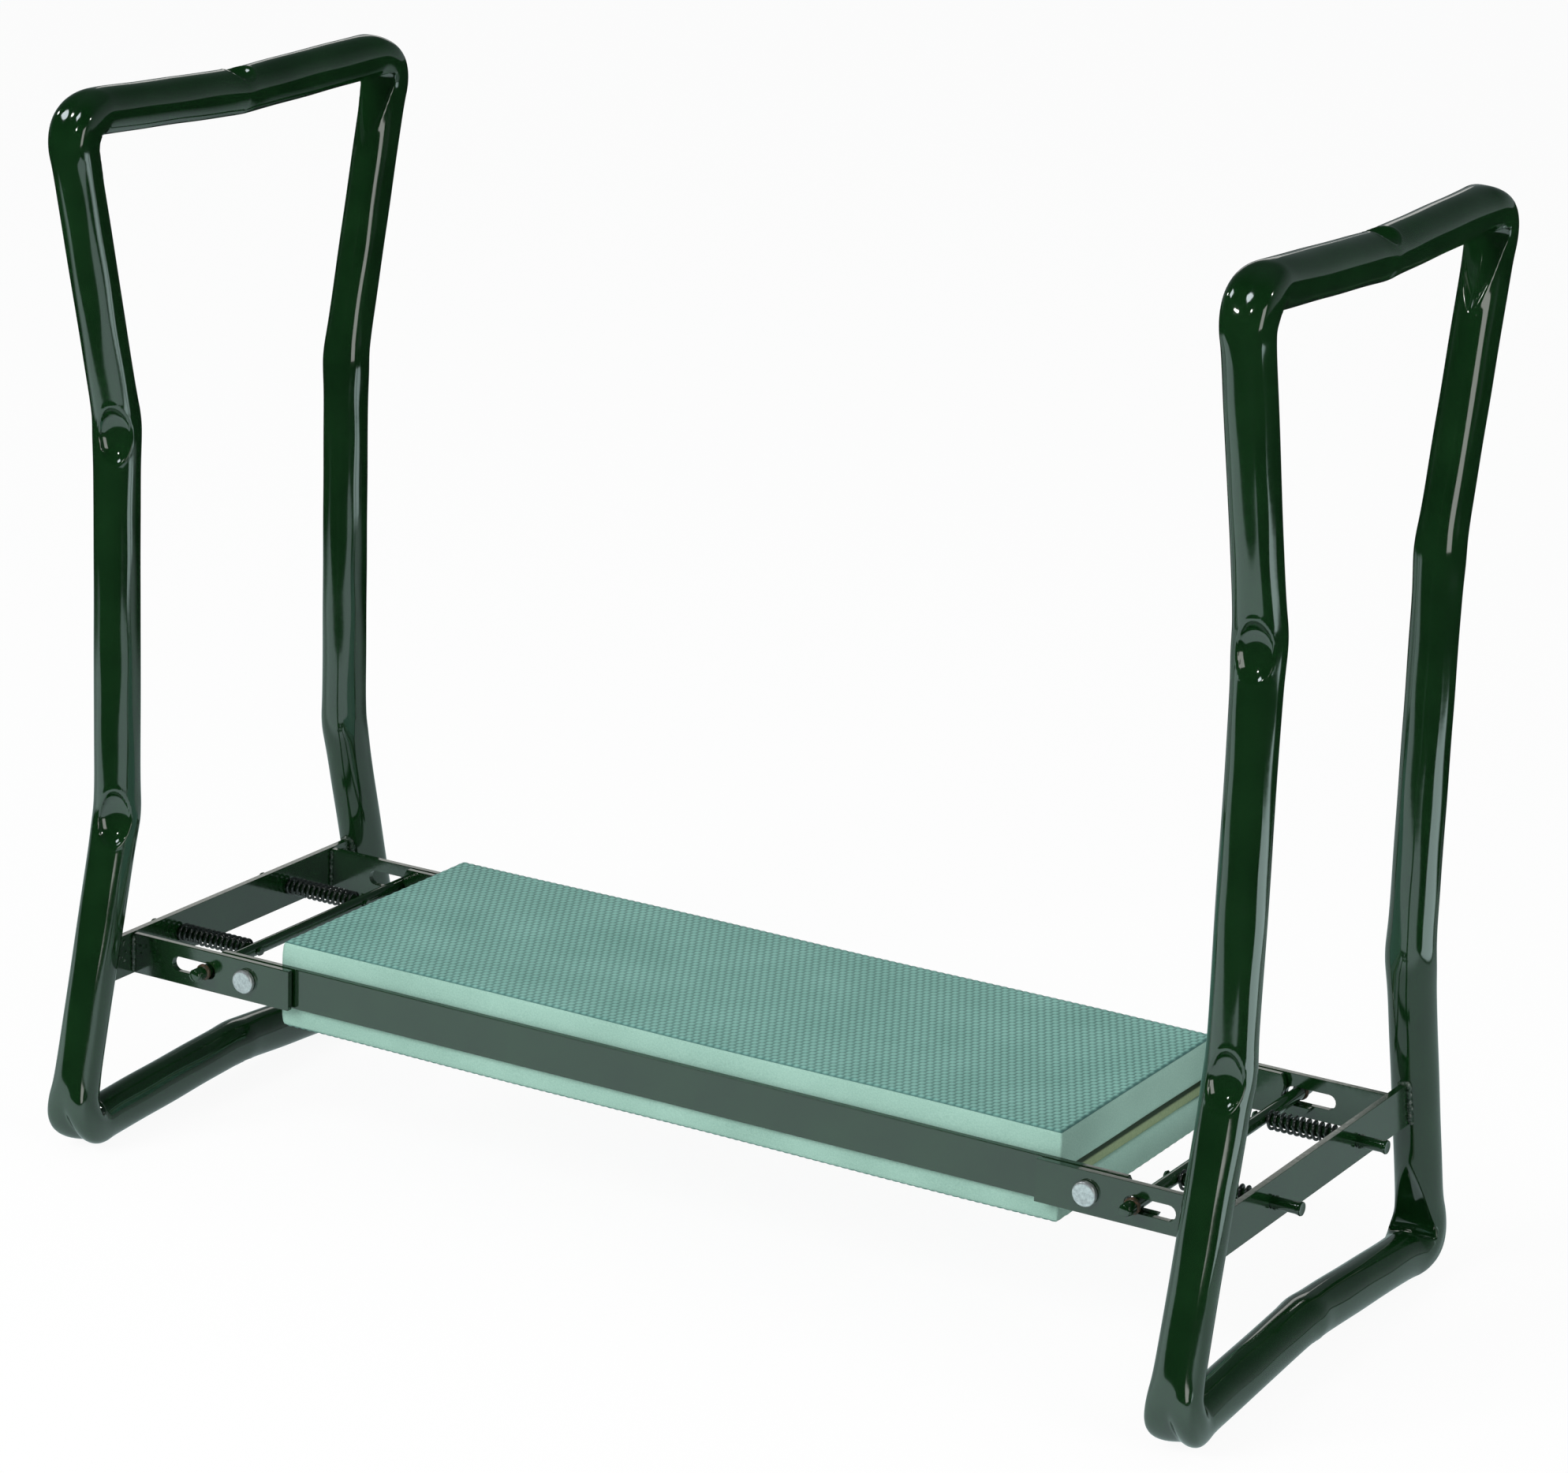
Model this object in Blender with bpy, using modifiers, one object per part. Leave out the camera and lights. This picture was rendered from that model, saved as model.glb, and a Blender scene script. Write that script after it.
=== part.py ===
"""Folding garden kneeler seat, modelled as the separate pieces it is made of.

A padded seat hangs between two leg loops, each one bent steel tube with a cross bar and two
flat arms. The arms turn on rivets in the seat's rails, so each leg folds in over the pad. A
sprung lock rod on each leg drops into a notch at the rails' ends and holds the leg open.

Metres, +Z up, +X towards the right leg. The floor is z = 0 and the seat is centred on x = y = 0.
"""

import math

import bmesh
import bpy
from mathutils import Matrix, Vector

# Leg loops: the tube's centreline is given by the corners that its straight runs would meet at.
LEG_X = 0.281
TUBE_RADIUS = 0.0105
TUBE_WALL = 0.0012
HANDLE_CORNER = (0.1188, 0.4782)
UPPER_WAIST = (0.0865, 0.3380)
LOWER_WAIST = (0.0875, 0.1560)
FOOT_CORNER = (0.1240, 0.0093)
HANDLE_MIDDLE_Z = 0.4735
FOOT_MIDDLE_Z = 0.0175
CORNER_BEND = 0.0140
WAIST_BEND = 0.045
MIDDLE_BEND = 0.080
DRAIN_RADIUS = 0.002

# Flat steel bars: seat rails, arms and cross bars stand on edge at one height.
BAR_Z = 0.085
BAR_THICK = 0.003
RAIL_HEIGHT = 0.019
ARM_HEIGHT = 0.019
CROSS_HEIGHT = 0.020
GAP = 0.0003
RAIL_OUTER_Y = 0.0743
ARM_INNER_Y = 0.0755
ARM_TAIL = 0.024

# Pivots and the latch.
PIVOT_X = 0.2153
RIVET_HEAD_RADIUS = 0.0055
RIVET_HEAD_HEIGHT = 0.0026
RIVET_SHANK_RADIUS = 0.0030
RIVET_HOLE_RADIUS = 0.0033
WASHER_RADIUS = 0.0070
ROD_RADIUS = 0.0030
ROD_X = 0.2375
ROD_HALF_LENGTH = 0.0880
ROD_TRAVEL = 0.0155
NOTCH_HALF_WIDTH = 0.0033
NOTCH_END_X = 0.2325
SLOT_HALF_WIDTH = 0.0035

# Guide pins and their springs run along X, from the rod out through the cross bar.
PIN_Y = 0.042
PIN_RADIUS = 0.0026
PIN_END_X = 0.2962
PIN_HOLE_RADIUS = 0.0029
SPIGOT_RADIUS = 0.0014
SPIGOT_HOLE_RADIUS = 0.0017
SPRING_RADIUS = 0.0036
SPRING_WIRE = 0.0006
SPRING_TURNS = 13

# Seat: two foam pads with a stiff board and end bars between them.
PAD_HALF_X = 0.1987
PAD_HALF_Y = 0.0709
PAD_TOP_Z = 0.1060
UPPER_PAD_BOTTOM_Z = 0.0872
LOWER_PAD_TOP_Z = 0.0796
PAD_BOTTOM_Z = 0.0645
PAD_EDGE = 0.0020
END_BAR_WIDTH = 0.012
END_BAR_INSET = 0.0012

GREEN_PAINT = ("green_paint", (0.012, 0.050, 0.030, 1.0), 0.18, 0.0)
ZINC = ("zinc_plate", (0.72, 0.74, 0.75, 1.0), 0.32, 1.0)
BLACK_STEEL = ("spring_steel", (0.020, 0.026, 0.024, 1.0), 0.25, 0.6)
FOAM = ("mint_foam", (0.40, 0.62, 0.50, 1.0), 0.75, 0.0)
BOARD = ("seat_board", (0.05, 0.07, 0.05, 1.0), 0.60, 0.0)

# Plane frames: a flat outline (u, v) is laid along X and Z, along Y and Z, or flat.
ALONG_XZ = Matrix(((1, 0, 0, 0), (0, 0, -1, 0), (0, 1, 0, 0), (0, 0, 0, 1)))
ALONG_YZ = Matrix(((0, 0, 1, 0), (1, 0, 0, 0), (0, 1, 0, 0), (0, 0, 0, 1)))
# Turned pieces: the profile's axis is laid along X or along Y.
AXIS_TO_X = Matrix.Rotation(math.radians(90), 4, "Y")
AXIS_TO_Y = Matrix.Rotation(math.radians(-90), 4, "X")


def clear_scene():
    for old in list(bpy.data.objects):
        bpy.data.objects.remove(old, do_unlink=True)


def new_collection(name):
    made = bpy.data.collections.new(name)
    bpy.context.scene.collection.children.link(made)
    return made


def material(spec):
    """The Principled material of a finish, made once."""
    name, colour, roughness, metallic = spec
    made = bpy.data.materials.get(name)
    if made is None:
        made = bpy.data.materials.new(name)
        made.use_nodes = True
        shader = made.node_tree.nodes["Principled BSDF"]
        shader.inputs["Base Color"].default_value = colour
        shader.inputs["Roughness"].default_value = roughness
        shader.inputs["Metallic"].default_value = metallic
    return made


def add_object(name, mesh, finish, place=None):
    """A mesh as a named part, placed by a matrix."""
    made = bpy.data.objects.new(name, mesh)
    PARTS.objects.link(made)
    if place is not None:
        made.matrix_world = place
    made.data.materials.clear()
    made.data.materials.append(material(finish))
    return made


def hide_as_cutter(cutter):
    """Keep a shape as a guide that other parts are cut with."""
    for owner in list(cutter.users_collection):
        owner.objects.unlink(cutter)
    CUTTERS.objects.link(cutter)
    cutter.hide_render = True
    cutter.display_type = "WIRE"
    return cutter


def cut(target, cutter):
    change = target.modifiers.new(cutter.name, "BOOLEAN")
    change.operation = "DIFFERENCE"
    change.solver = "EXACT"
    change.object = cutter
    return change


def shade_round(made, angle=35):
    made.data.shade_smooth()
    made.data.set_sharp_from_angle(angle=math.radians(angle))


def box(name, low, high, finish, edge=0.0):
    """A rectangular block between two corners, with its edges eased if edge is given."""
    low, high = Vector(low), Vector(high)
    shape = bmesh.new()
    bmesh.ops.create_cube(shape, size=1.0)
    bmesh.ops.scale(shape, vec=high - low, verts=shape.verts)
    mesh = bpy.data.meshes.new(name)
    shape.to_mesh(mesh)
    shape.free()
    made = add_object(name, mesh, finish, Matrix.Translation((low + high) / 2))
    if edge:
        bevel = made.modifiers.new("eased edges", "BEVEL")
        bevel.width = edge
        bevel.segments = 2
    return made


def cylinder(name, radius, length, place, finish, segments=20):
    """A round bar along its own Z, centred on its origin."""
    shape = bmesh.new()
    bmesh.ops.create_cone(
        shape, cap_ends=True, segments=segments, radius1=radius, radius2=radius, depth=length
    )
    mesh = bpy.data.meshes.new(name)
    shape.to_mesh(mesh)
    shape.free()
    made = add_object(name, mesh, finish, place)
    shade_round(made)
    return made


def turned(name, profile, place, finish, segments=20):
    """A turned piece: profile is (radius, height) from its top down its outer side."""
    mesh = bpy.data.meshes.new(name)
    points = [(radius, 0.0, height) for radius, height in profile]
    edges = [(i, i + 1) for i in range(len(points) - 1)]
    if profile[0][0] > 0.0:
        edges.append((len(points) - 1, 0))
    mesh.from_pydata(points, edges, [])
    made = add_object(name, mesh, finish, place)
    screw = made.modifiers.new("turned", "SCREW")
    screw.axis = "Z"
    screw.steps = segments
    screw.render_steps = segments
    screw.use_merge_vertices = True
    screw.merge_threshold = 0.00001
    screw.use_smooth_shade = False
    return made


def mesh_from_curve(curve_object, name, finish):
    """A curve's evaluated shape as a mesh part, with its loose caps welded on."""
    bpy.context.view_layer.update()
    seen = curve_object.evaluated_get(bpy.context.evaluated_depsgraph_get())
    mesh = bpy.data.meshes.new_from_object(seen)
    place = curve_object.matrix_world.copy()
    bpy.data.objects.remove(curve_object, do_unlink=True)
    shape = bmesh.new()
    shape.from_mesh(mesh)
    bmesh.ops.remove_doubles(shape, verts=shape.verts, dist=0.000001)
    bmesh.ops.recalc_face_normals(shape, faces=shape.faces)
    shape.to_mesh(mesh)
    shape.free()
    mesh.name = name
    return add_object(name, mesh, finish, place)


def plate(name, outlines, place, finish, thick=BAR_THICK):
    """A flat plate: the first outline is its edge, and any others are holes through it."""
    curve = bpy.data.curves.new(name, "CURVE")
    curve.dimensions = "2D"
    curve.fill_mode = "BOTH"
    curve.extrude = thick / 2
    for outline in outlines:
        spline = curve.splines.new("POLY")
        spline.points.add(len(outline) - 1)
        for point, (u, v) in zip(spline.points, outline):
            point.co = (u, v, 0.0, 1.0)
        spline.use_cyclic_u = True
    flat = bpy.data.objects.new(name, curve)
    PARTS.objects.link(flat)
    flat.matrix_world = place
    return mesh_from_curve(flat, name, finish)


def swept(name, points, radius, finish, closed=False, resolution=2):
    """A round wire or tube along a list of points."""
    curve = bpy.data.curves.new(name, "CURVE")
    curve.dimensions = "3D"
    curve.twist_mode = "MINIMUM"
    curve.bevel_depth = radius
    curve.bevel_resolution = resolution
    curve.use_fill_caps = not closed
    spline = curve.splines.new("POLY")
    spline.points.add(len(points) - 1)
    for point, place in zip(spline.points, points):
        point.co = (*place, 1.0)
    spline.use_cyclic_u = closed
    line = bpy.data.objects.new(name, curve)
    PARTS.objects.link(line)
    made = mesh_from_curve(line, name, finish)
    shade_round(made, 60)
    return made


def arc(centre, radius, start, end, steps):
    """Points round part of a circle, from one angle to another in degrees."""
    angles = [math.radians(start + (end - start) * i / steps) for i in range(steps + 1)]
    return [(centre[0] + radius * math.cos(a), centre[1] + radius * math.sin(a)) for a in angles]


def circle(centre, radius, steps=20):
    return arc(centre, radius, 0, 360 * (steps - 1) / steps, steps - 1)


def slot(start, end, height, half_width):
    """A round-ended slot along u, whose outermost points are at start and end."""
    right = arc((end - half_width, height), half_width, -90, 90, 8)
    left = arc((start + half_width, height), half_width, 90, 270, 8)
    return right + left


def mirrored(outline):
    return [(-u, v) for u, v in reversed(outline)]


def rounded(corners, bends, steps):
    """A closed line through corners, with each corner turned on its own bend radius."""
    line = []
    for i, corner in enumerate(corners):
        here = Vector(corner)
        back = (Vector(corners[i - 1]) - here).normalized()
        ahead = (Vector(corners[(i + 1) % len(corners)]) - here).normalized()
        half = back.angle(ahead) / 2
        centre = here + (back + ahead).normalized() * (bends[i] / math.sin(half))
        first = (here + back * (bends[i] / math.tan(half)) - centre).normalized()
        last = (here + ahead * (bends[i] / math.tan(half)) - centre).normalized()
        for k in range(steps[i] + 1):
            line.append(centre + first.slerp(last, k / steps[i]) * bends[i])
    return line


def tube_line():
    """The leg tube's centreline in Y and Z, all the way round."""
    right_half = [HANDLE_CORNER, UPPER_WAIST, LOWER_WAIST, FOOT_CORNER]
    left_half = [(-y, z) for y, z in reversed(right_half)]
    corners = [(0.0, HANDLE_MIDDLE_Z)] + right_half + [(0.0, FOOT_MIDDLE_Z)] + left_half
    half_bends = [CORNER_BEND, WAIST_BEND, WAIST_BEND, CORNER_BEND]
    half_steps = [6, 2, 2, 6]
    bends = [MIDDLE_BEND] + half_bends + [MIDDLE_BEND] + half_bends[::-1]
    steps = [1] + half_steps + [1] + half_steps[::-1]
    return rounded(corners, bends, steps)


def tube_inner_y(z):
    """Where the inner side of a leg's lower run is at a height."""
    (waist_y, waist_z), (foot_y, foot_z) = LOWER_WAIST, FOOT_CORNER
    lean = (foot_y - waist_y) / (waist_z - foot_z)
    centre_y = waist_y + (waist_z - z) * lean
    return centre_y - TUBE_RADIUS * math.hypot(1.0, lean)


def leg_tube(side, sign):
    """One bent tube, open inside, with a drain hole under its foot bar."""
    points = [(sign * LEG_X, y, z) for y, z in tube_line()]
    made = swept(f"{side}_leg_tube", points, TUBE_RADIUS, GREEN_PAINT, closed=True, resolution=4)
    bore_name = f"{side}_tube_bore"
    bore = swept(bore_name, points, TUBE_RADIUS - TUBE_WALL, GREEN_PAINT, closed=True, resolution=2)
    cut(made, hide_as_cutter(bore))
    place = Matrix.Translation((sign * LEG_X, 0.0, FOOT_MIDDLE_Z - TUBE_RADIUS))
    drain = cylinder(f"{side}_drain", DRAIN_RADIUS, 4 * TUBE_WALL, place, GREEN_PAINT, 10)
    cut(made, hide_as_cutter(drain))
    return made


def cross_bar(side, sign):
    """The flat bar across a leg, between the two lower runs of its tube."""
    low, high = BAR_Z - CROSS_HEIGHT / 2, BAR_Z + CROSS_HEIGHT / 2
    low_y, high_y = tube_inner_y(low) - GAP, tube_inner_y(high) - GAP
    edge = [(-low_y, low), (low_y, low), (high_y, high), (-high_y, high)]
    holes = [circle((y, BAR_Z), PIN_HOLE_RADIUS) for y in (-PIN_Y, PIN_Y)]
    place = Matrix.Translation((sign * LEG_X, 0.0, 0.0)) @ ALONG_YZ
    return plate(f"{side}_cross_bar", [edge] + holes, place, GREEN_PAINT)


def arm(side, sign, end, way):
    """A flat arm from the cross bar to its pivot, with the slot that the lock rod slides in."""
    low, high = BAR_Z - ARM_HEIGHT / 2, BAR_Z + ARM_HEIGHT / 2
    tail = PIVOT_X - ARM_TAIL
    butt = LEG_X - BAR_THICK / 2 - GAP
    slot_end = ROD_X + ROD_TRAVEL + SLOT_HALF_WIDTH
    outlines = [
        [(tail, low), (butt, low), (butt, high), (tail, high)],
        circle((PIVOT_X, BAR_Z), RIVET_HOLE_RADIUS),
        slot(NOTCH_END_X, slot_end, BAR_Z, SLOT_HALF_WIDTH),
    ]
    if sign < 0:
        outlines = [mirrored(outline) for outline in outlines]
    middle_y = way * (ARM_INNER_Y + BAR_THICK / 2)
    place = Matrix.Translation((0.0, middle_y, 0.0)) @ ALONG_XZ
    return plate(f"{side}_{end}_arm", outlines, place, GREEN_PAINT)


def rail_end():
    """The hooked end of a rail at +X, from its lower edge round to its upper edge.

    The lower jaw stands under the lock rod. Above it the rail stops short of the path that the
    rod takes round the pivot as the leg folds.
    """
    low, high = BAR_Z - RAIL_HEIGHT / 2, BAR_Z + RAIL_HEIGHT / 2
    jaw_top = BAR_Z - NOTCH_HALF_WIDTH
    round_end = RAIL_HEIGHT / 2
    tip_angle = math.degrees(math.asin(-NOTCH_HALF_WIDTH / round_end))
    tip = arc((ROD_X, BAR_Z), round_end, -90, tip_angle, 6)
    notch_centre_x = NOTCH_END_X + NOTCH_HALF_WIDTH
    notch = arc((notch_centre_x, BAR_Z), NOTCH_HALF_WIDTH, 270, 140, 6)
    path = ROD_X - PIVOT_X - ROD_RADIUS - GAP
    top_angle = math.degrees(math.asin((high - BAR_Z) / path))
    swept_side = arc((PIVOT_X, BAR_Z), path, top_angle / 2, top_angle, 3)
    return tip + [(notch_centre_x, jaw_top)] + notch[1:] + swept_side


def rail(end, way):
    half = rail_end()
    outlines = [
        half + mirrored(half),
        circle((PIVOT_X, BAR_Z), RIVET_HOLE_RADIUS),
        circle((-PIVOT_X, BAR_Z), RIVET_HOLE_RADIUS),
    ]
    place = Matrix.Translation((0.0, way * (RAIL_OUTER_Y - BAR_THICK / 2), 0.0)) @ ALONG_XZ
    return plate(f"{end}_rail", outlines, place, GREEN_PAINT)


def pivot(side, sign, end, way):
    """A rivet through a rail and an arm, and the washer that keeps the two apart."""
    arm_face = ARM_INNER_Y + BAR_THICK + GAP
    rail_face = RAIL_OUTER_Y - BAR_THICK - GAP
    top = arm_face + RIVET_HEAD_HEIGHT
    bottom = rail_face - 0.8 * RIVET_HEAD_HEIGHT
    profile = [
        (0.0, top),
        (0.55 * RIVET_HEAD_RADIUS, top),
        (0.85 * RIVET_HEAD_RADIUS, top - 0.2 * RIVET_HEAD_HEIGHT),
        (RIVET_HEAD_RADIUS, top - 0.5 * RIVET_HEAD_HEIGHT),
        (RIVET_HEAD_RADIUS, arm_face),
        (RIVET_SHANK_RADIUS, arm_face),
        (RIVET_SHANK_RADIUS, rail_face),
        (0.8 * RIVET_HEAD_RADIUS, rail_face),
        (0.6 * RIVET_HEAD_RADIUS, bottom),
        (0.0, bottom),
    ]
    turn = AXIS_TO_Y if way > 0 else AXIS_TO_Y @ Matrix.Rotation(math.pi, 4, "X")
    place = Matrix.Translation((sign * PIVOT_X, 0.0, BAR_Z)) @ turn
    turned(f"{side}_{end}_rivet", profile, place, ZINC)
    low, high = RAIL_OUTER_Y + GAP, ARM_INNER_Y - GAP
    ring = [
        (RIVET_HOLE_RADIUS, high),
        (WASHER_RADIUS, high),
        (WASHER_RADIUS, low),
        (RIVET_HOLE_RADIUS, low),
    ]
    turned(f"{side}_{end}_washer", ring, place, ZINC)


def lock_rod(side, sign):
    """The rod across both arms. Two pressed collars keep it from sliding out sideways."""
    collar = ARM_INNER_Y + BAR_THICK + 2 * GAP
    half = [
        (0.0, ROD_HALF_LENGTH),
        (0.75 * ROD_RADIUS, ROD_HALF_LENGTH),
        (ROD_RADIUS, ROD_HALF_LENGTH - 0.0008),
        (ROD_RADIUS, collar + 0.0032),
        (1.28 * ROD_RADIUS, collar + 0.0022),
        (1.28 * ROD_RADIUS, collar + 0.0006),
        (ROD_RADIUS, collar),
    ]
    profile = half + [(radius, -height) for radius, height in reversed(half)]
    place = Matrix.Translation((sign * ROD_X, 0.0, BAR_Z)) @ AXIS_TO_Y
    made = turned(f"{side}_lock_rod", profile, place, GREEN_PAINT, segments=16)
    for end, way in ENDS:
        across = Matrix.Translation((sign * ROD_X, way * PIN_Y, BAR_Z)) @ AXIS_TO_X
        name = f"{side}_{end}_spigot_hole"
        hole = cylinder(name, SPIGOT_HOLE_RADIUS, 4 * ROD_RADIUS, across, GREEN_PAINT, 12)
        cut(made, hide_as_cutter(hole))
    return made


def guide_pin(side, sign, end, way):
    """A pin riveted through the lock rod, which guides its spring and runs out past the bar."""
    outer_face = LEG_X + BAR_THICK / 2
    shoulder = ROD_X + ROD_RADIUS + GAP
    peened = ROD_X - ROD_RADIUS - GAP
    profile = [
        (0.0, PIN_END_X),
        (1.1 * PIN_RADIUS, PIN_END_X),
        (1.2 * PIN_RADIUS, PIN_END_X - 0.0008),
        (PIN_RADIUS, PIN_END_X - 0.0022),
        (PIN_RADIUS, outer_face + 0.0026),
        (1.4 * PIN_RADIUS, outer_face + 0.0019),
        (1.4 * PIN_RADIUS, outer_face + 0.0009),
        (PIN_RADIUS, outer_face + GAP),
        (PIN_RADIUS, shoulder),
        (SPIGOT_RADIUS, shoulder),
        (SPIGOT_RADIUS, peened),
        (1.7 * SPIGOT_RADIUS, peened),
        (1.3 * SPIGOT_RADIUS, peened - 0.0011),
        (0.0, peened - 0.0011),
    ]
    turn = AXIS_TO_X if sign > 0 else AXIS_TO_X @ Matrix.Rotation(math.pi, 4, "X")
    place = Matrix.Translation((0.0, way * PIN_Y, BAR_Z)) @ turn
    return turned(f"{side}_{end}_guide_pin", profile, place, GREEN_PAINT, segments=14)


def spring(side, sign, end, way):
    """A compression spring round a guide pin, between the lock rod and the cross bar."""
    start = ROD_X + ROD_RADIUS + SPRING_WIRE + GAP
    length = LEG_X - BAR_THICK / 2 - SPRING_WIRE - GAP - start
    per_turn = 8
    count = SPRING_TURNS * per_turn
    points = []
    for i in range(count + 1):
        angle = 2 * math.pi * i / per_turn
        x = start + length * i / count
        y = way * PIN_Y + SPRING_RADIUS * math.cos(angle)
        points.append((sign * x, y, BAR_Z + SPRING_RADIUS * math.sin(angle)))
    return swept(f"{side}_{end}_spring", points, SPRING_WIRE, BLACK_STEEL, resolution=0)


def leg(side, sign):
    leg_tube(side, sign)
    cross_bar(side, sign)
    lock_rod(side, sign)
    for end, way in ENDS:
        arm(side, sign, end, way)
        pivot(side, sign, end, way)
        guide_pin(side, sign, end, way)
        spring(side, sign, end, way)


def end_bar(side, sign):
    """A square bar between the rails at the end of the pads, which the board lies against."""
    outer = PAD_HALF_X - END_BAR_INSET
    inner = outer - END_BAR_WIDTH
    half_y = RAIL_OUTER_Y - BAR_THICK - GAP
    low = (min(sign * inner, sign * outer), -half_y, LOWER_PAD_TOP_Z + GAP)
    high = (max(sign * inner, sign * outer), half_y, UPPER_PAD_BOTTOM_Z - GAP)
    return box(f"{side}_end_bar", low, high, GREEN_PAINT)


def pad(name, bottom, top):
    low = (-PAD_HALF_X, -PAD_HALF_Y, bottom)
    high = (PAD_HALF_X, PAD_HALF_Y, top)
    return box(name, low, high, FOAM, edge=PAD_EDGE)


def seat():
    for end, way in ENDS:
        rail(end, way)
    for side, sign in SIDES:
        end_bar(side, sign)
    half_x = PAD_HALF_X - END_BAR_INSET - END_BAR_WIDTH - GAP
    low = (-half_x, -PAD_HALF_Y, LOWER_PAD_TOP_Z + GAP)
    high = (half_x, PAD_HALF_Y, UPPER_PAD_BOTTOM_Z - GAP)
    box("seat_board", low, high, BOARD)
    pad("upper_pad", UPPER_PAD_BOTTOM_Z, PAD_TOP_Z)
    pad("lower_pad", PAD_BOTTOM_Z, LOWER_PAD_TOP_Z)


SIDES = (("left", -1), ("right", 1))
ENDS = (("front", -1), ("back", 1))

clear_scene()
PARTS = new_collection("garden_kneeler_seat")
CUTTERS = new_collection("cutters")
seat()
for side_name, side_sign in SIDES:
    leg(side_name, side_sign)
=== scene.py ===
"""Studio picture of the garden kneeler seat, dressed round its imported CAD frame.

The leg tubes are formed again with the dents that cold bending presses into thin tube, the flat
bars get eased edges and weld beads, the turned and coiled parts are made finely, and the foam
slabs get their pressed weave. Metres, +Z up, in the frame's own axes.
"""

import math

import bmesh
import bpy
import numpy as np
from mathutils import Matrix, Vector


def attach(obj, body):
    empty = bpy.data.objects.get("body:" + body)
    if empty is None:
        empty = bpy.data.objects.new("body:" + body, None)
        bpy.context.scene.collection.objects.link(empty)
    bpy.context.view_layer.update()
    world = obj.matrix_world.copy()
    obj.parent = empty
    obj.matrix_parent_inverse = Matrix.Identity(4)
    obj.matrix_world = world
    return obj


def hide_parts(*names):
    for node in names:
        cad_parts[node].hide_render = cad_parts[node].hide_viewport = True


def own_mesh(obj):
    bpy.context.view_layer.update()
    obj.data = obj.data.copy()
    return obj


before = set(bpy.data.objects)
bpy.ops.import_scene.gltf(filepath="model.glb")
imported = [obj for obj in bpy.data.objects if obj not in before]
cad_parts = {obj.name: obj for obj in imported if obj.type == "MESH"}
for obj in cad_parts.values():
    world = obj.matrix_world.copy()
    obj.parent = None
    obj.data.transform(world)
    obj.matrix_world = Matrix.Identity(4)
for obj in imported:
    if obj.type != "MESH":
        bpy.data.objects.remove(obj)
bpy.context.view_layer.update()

SIDES = (("left", -1), ("right", 1))
ENDS = (("front", -1), ("back", 1))
MM = 0.001

# The leg tube's route, as the CAD has it: corners of its centreline in Y and Z, and bend radii.
LEG_X = 0.281
TUBE_RADIUS = 0.0105
HANDLE_CORNER = (0.1188, 0.4782)
UPPER_WAIST = (0.0865, 0.3380)
LOWER_WAIST = (0.0875, 0.1560)
FOOT_CORNER = (0.1240, 0.0093)
HANDLE_MIDDLE_Z = 0.4735
FOOT_MIDDLE_Z = 0.0175
CORNER_BEND = 0.0140
WAIST_BEND = 0.045
MIDDLE_BEND = 0.080
RING_POINTS = 72

# Bends of the route by number, counted from the handle's middle towards +Y.
HANDLE_MIDDLE = 0
FOOT_MIDDLE = 5
HANDLE_CORNERS = (1, 9)
FOOT_CORNERS = (4, 6)
UPRIGHT_AHEAD = (1, 6)
UPPER_WAISTS = (2, 8)
FRONT_WAISTS = (7, 8)
FEATURE_REACHES = [0.022, 0.044, 0.024, 0.024, 0.044] * 2

# Each waist's pit lies a little below its bend, and is turned about the tube from straight out.
UPPER_PIT_DROP = 0.0045
LOWER_PIT_DROP = 0.0025
PIT_TURN = {"left": math.radians(30), "right": math.radians(13)}
PIT_SPAN = 0.045
PIT_BULGE = 0.0007
MIDDLE_PIT_TURN = math.radians(12)
MIDDLE_PIT_SIZE = 0.95

# A corner's outer wall: how far its middle sinks, its side ridges rise, and how far along it goes.
HANDLE_CRUSH = (0.0019, 0.0007, 0.0105)
FOOT_CRUSH = (0.0046, 0.0016, 0.0105)
HANDLE_BULGE = 0.0012
FOOT_BULGE = 0.0018
CORNER_BULGE_REACH = 0.013

# A corner's inner side: its crushed V, along the upright and along the bar.
DENT_DEPTH = 0.0072
DENT_UP = 0.043
DENT_ALONG_BAR = 0.0125
DENT_SPAN = 0.06
UNEVENNESS = 0.00012

# Bars, pivots and the latch, as the CAD has them.
BAR_Z = 0.085
BAR_THICK = 0.003
CROSS_HEIGHT = 0.020
GAP = 0.0003
RAIL_OUTER_Y = 0.0743
ARM_INNER_Y = 0.0755
PIVOT_X = 0.2153
RIVET_HEAD_RADIUS = 0.0055
RIVET_HEAD_HEIGHT = 0.0026
RIVET_SHANK_RADIUS = 0.0030
RIVET_HOLE_RADIUS = 0.0033
WASHER_RADIUS = 0.0070
ROD_RADIUS = 0.0030
ROD_X = 0.2375
ROD_HALF_LENGTH = 0.0880
PIN_Y = 0.042
PIN_RADIUS = 0.0026
PIN_END_X = 0.2962
SPIGOT_RADIUS = 0.0014

# Springs, a little bolder than the CAD's, with a share of their wire closed up at each end.
SPRING_RADIUS = 0.0038
SPRING_WIRE = 0.0007
SPRING_TURNS = 13
SPRING_WIRE_SIDES = 10
SPRING_CLOSED_SHARE = 0.035

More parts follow.
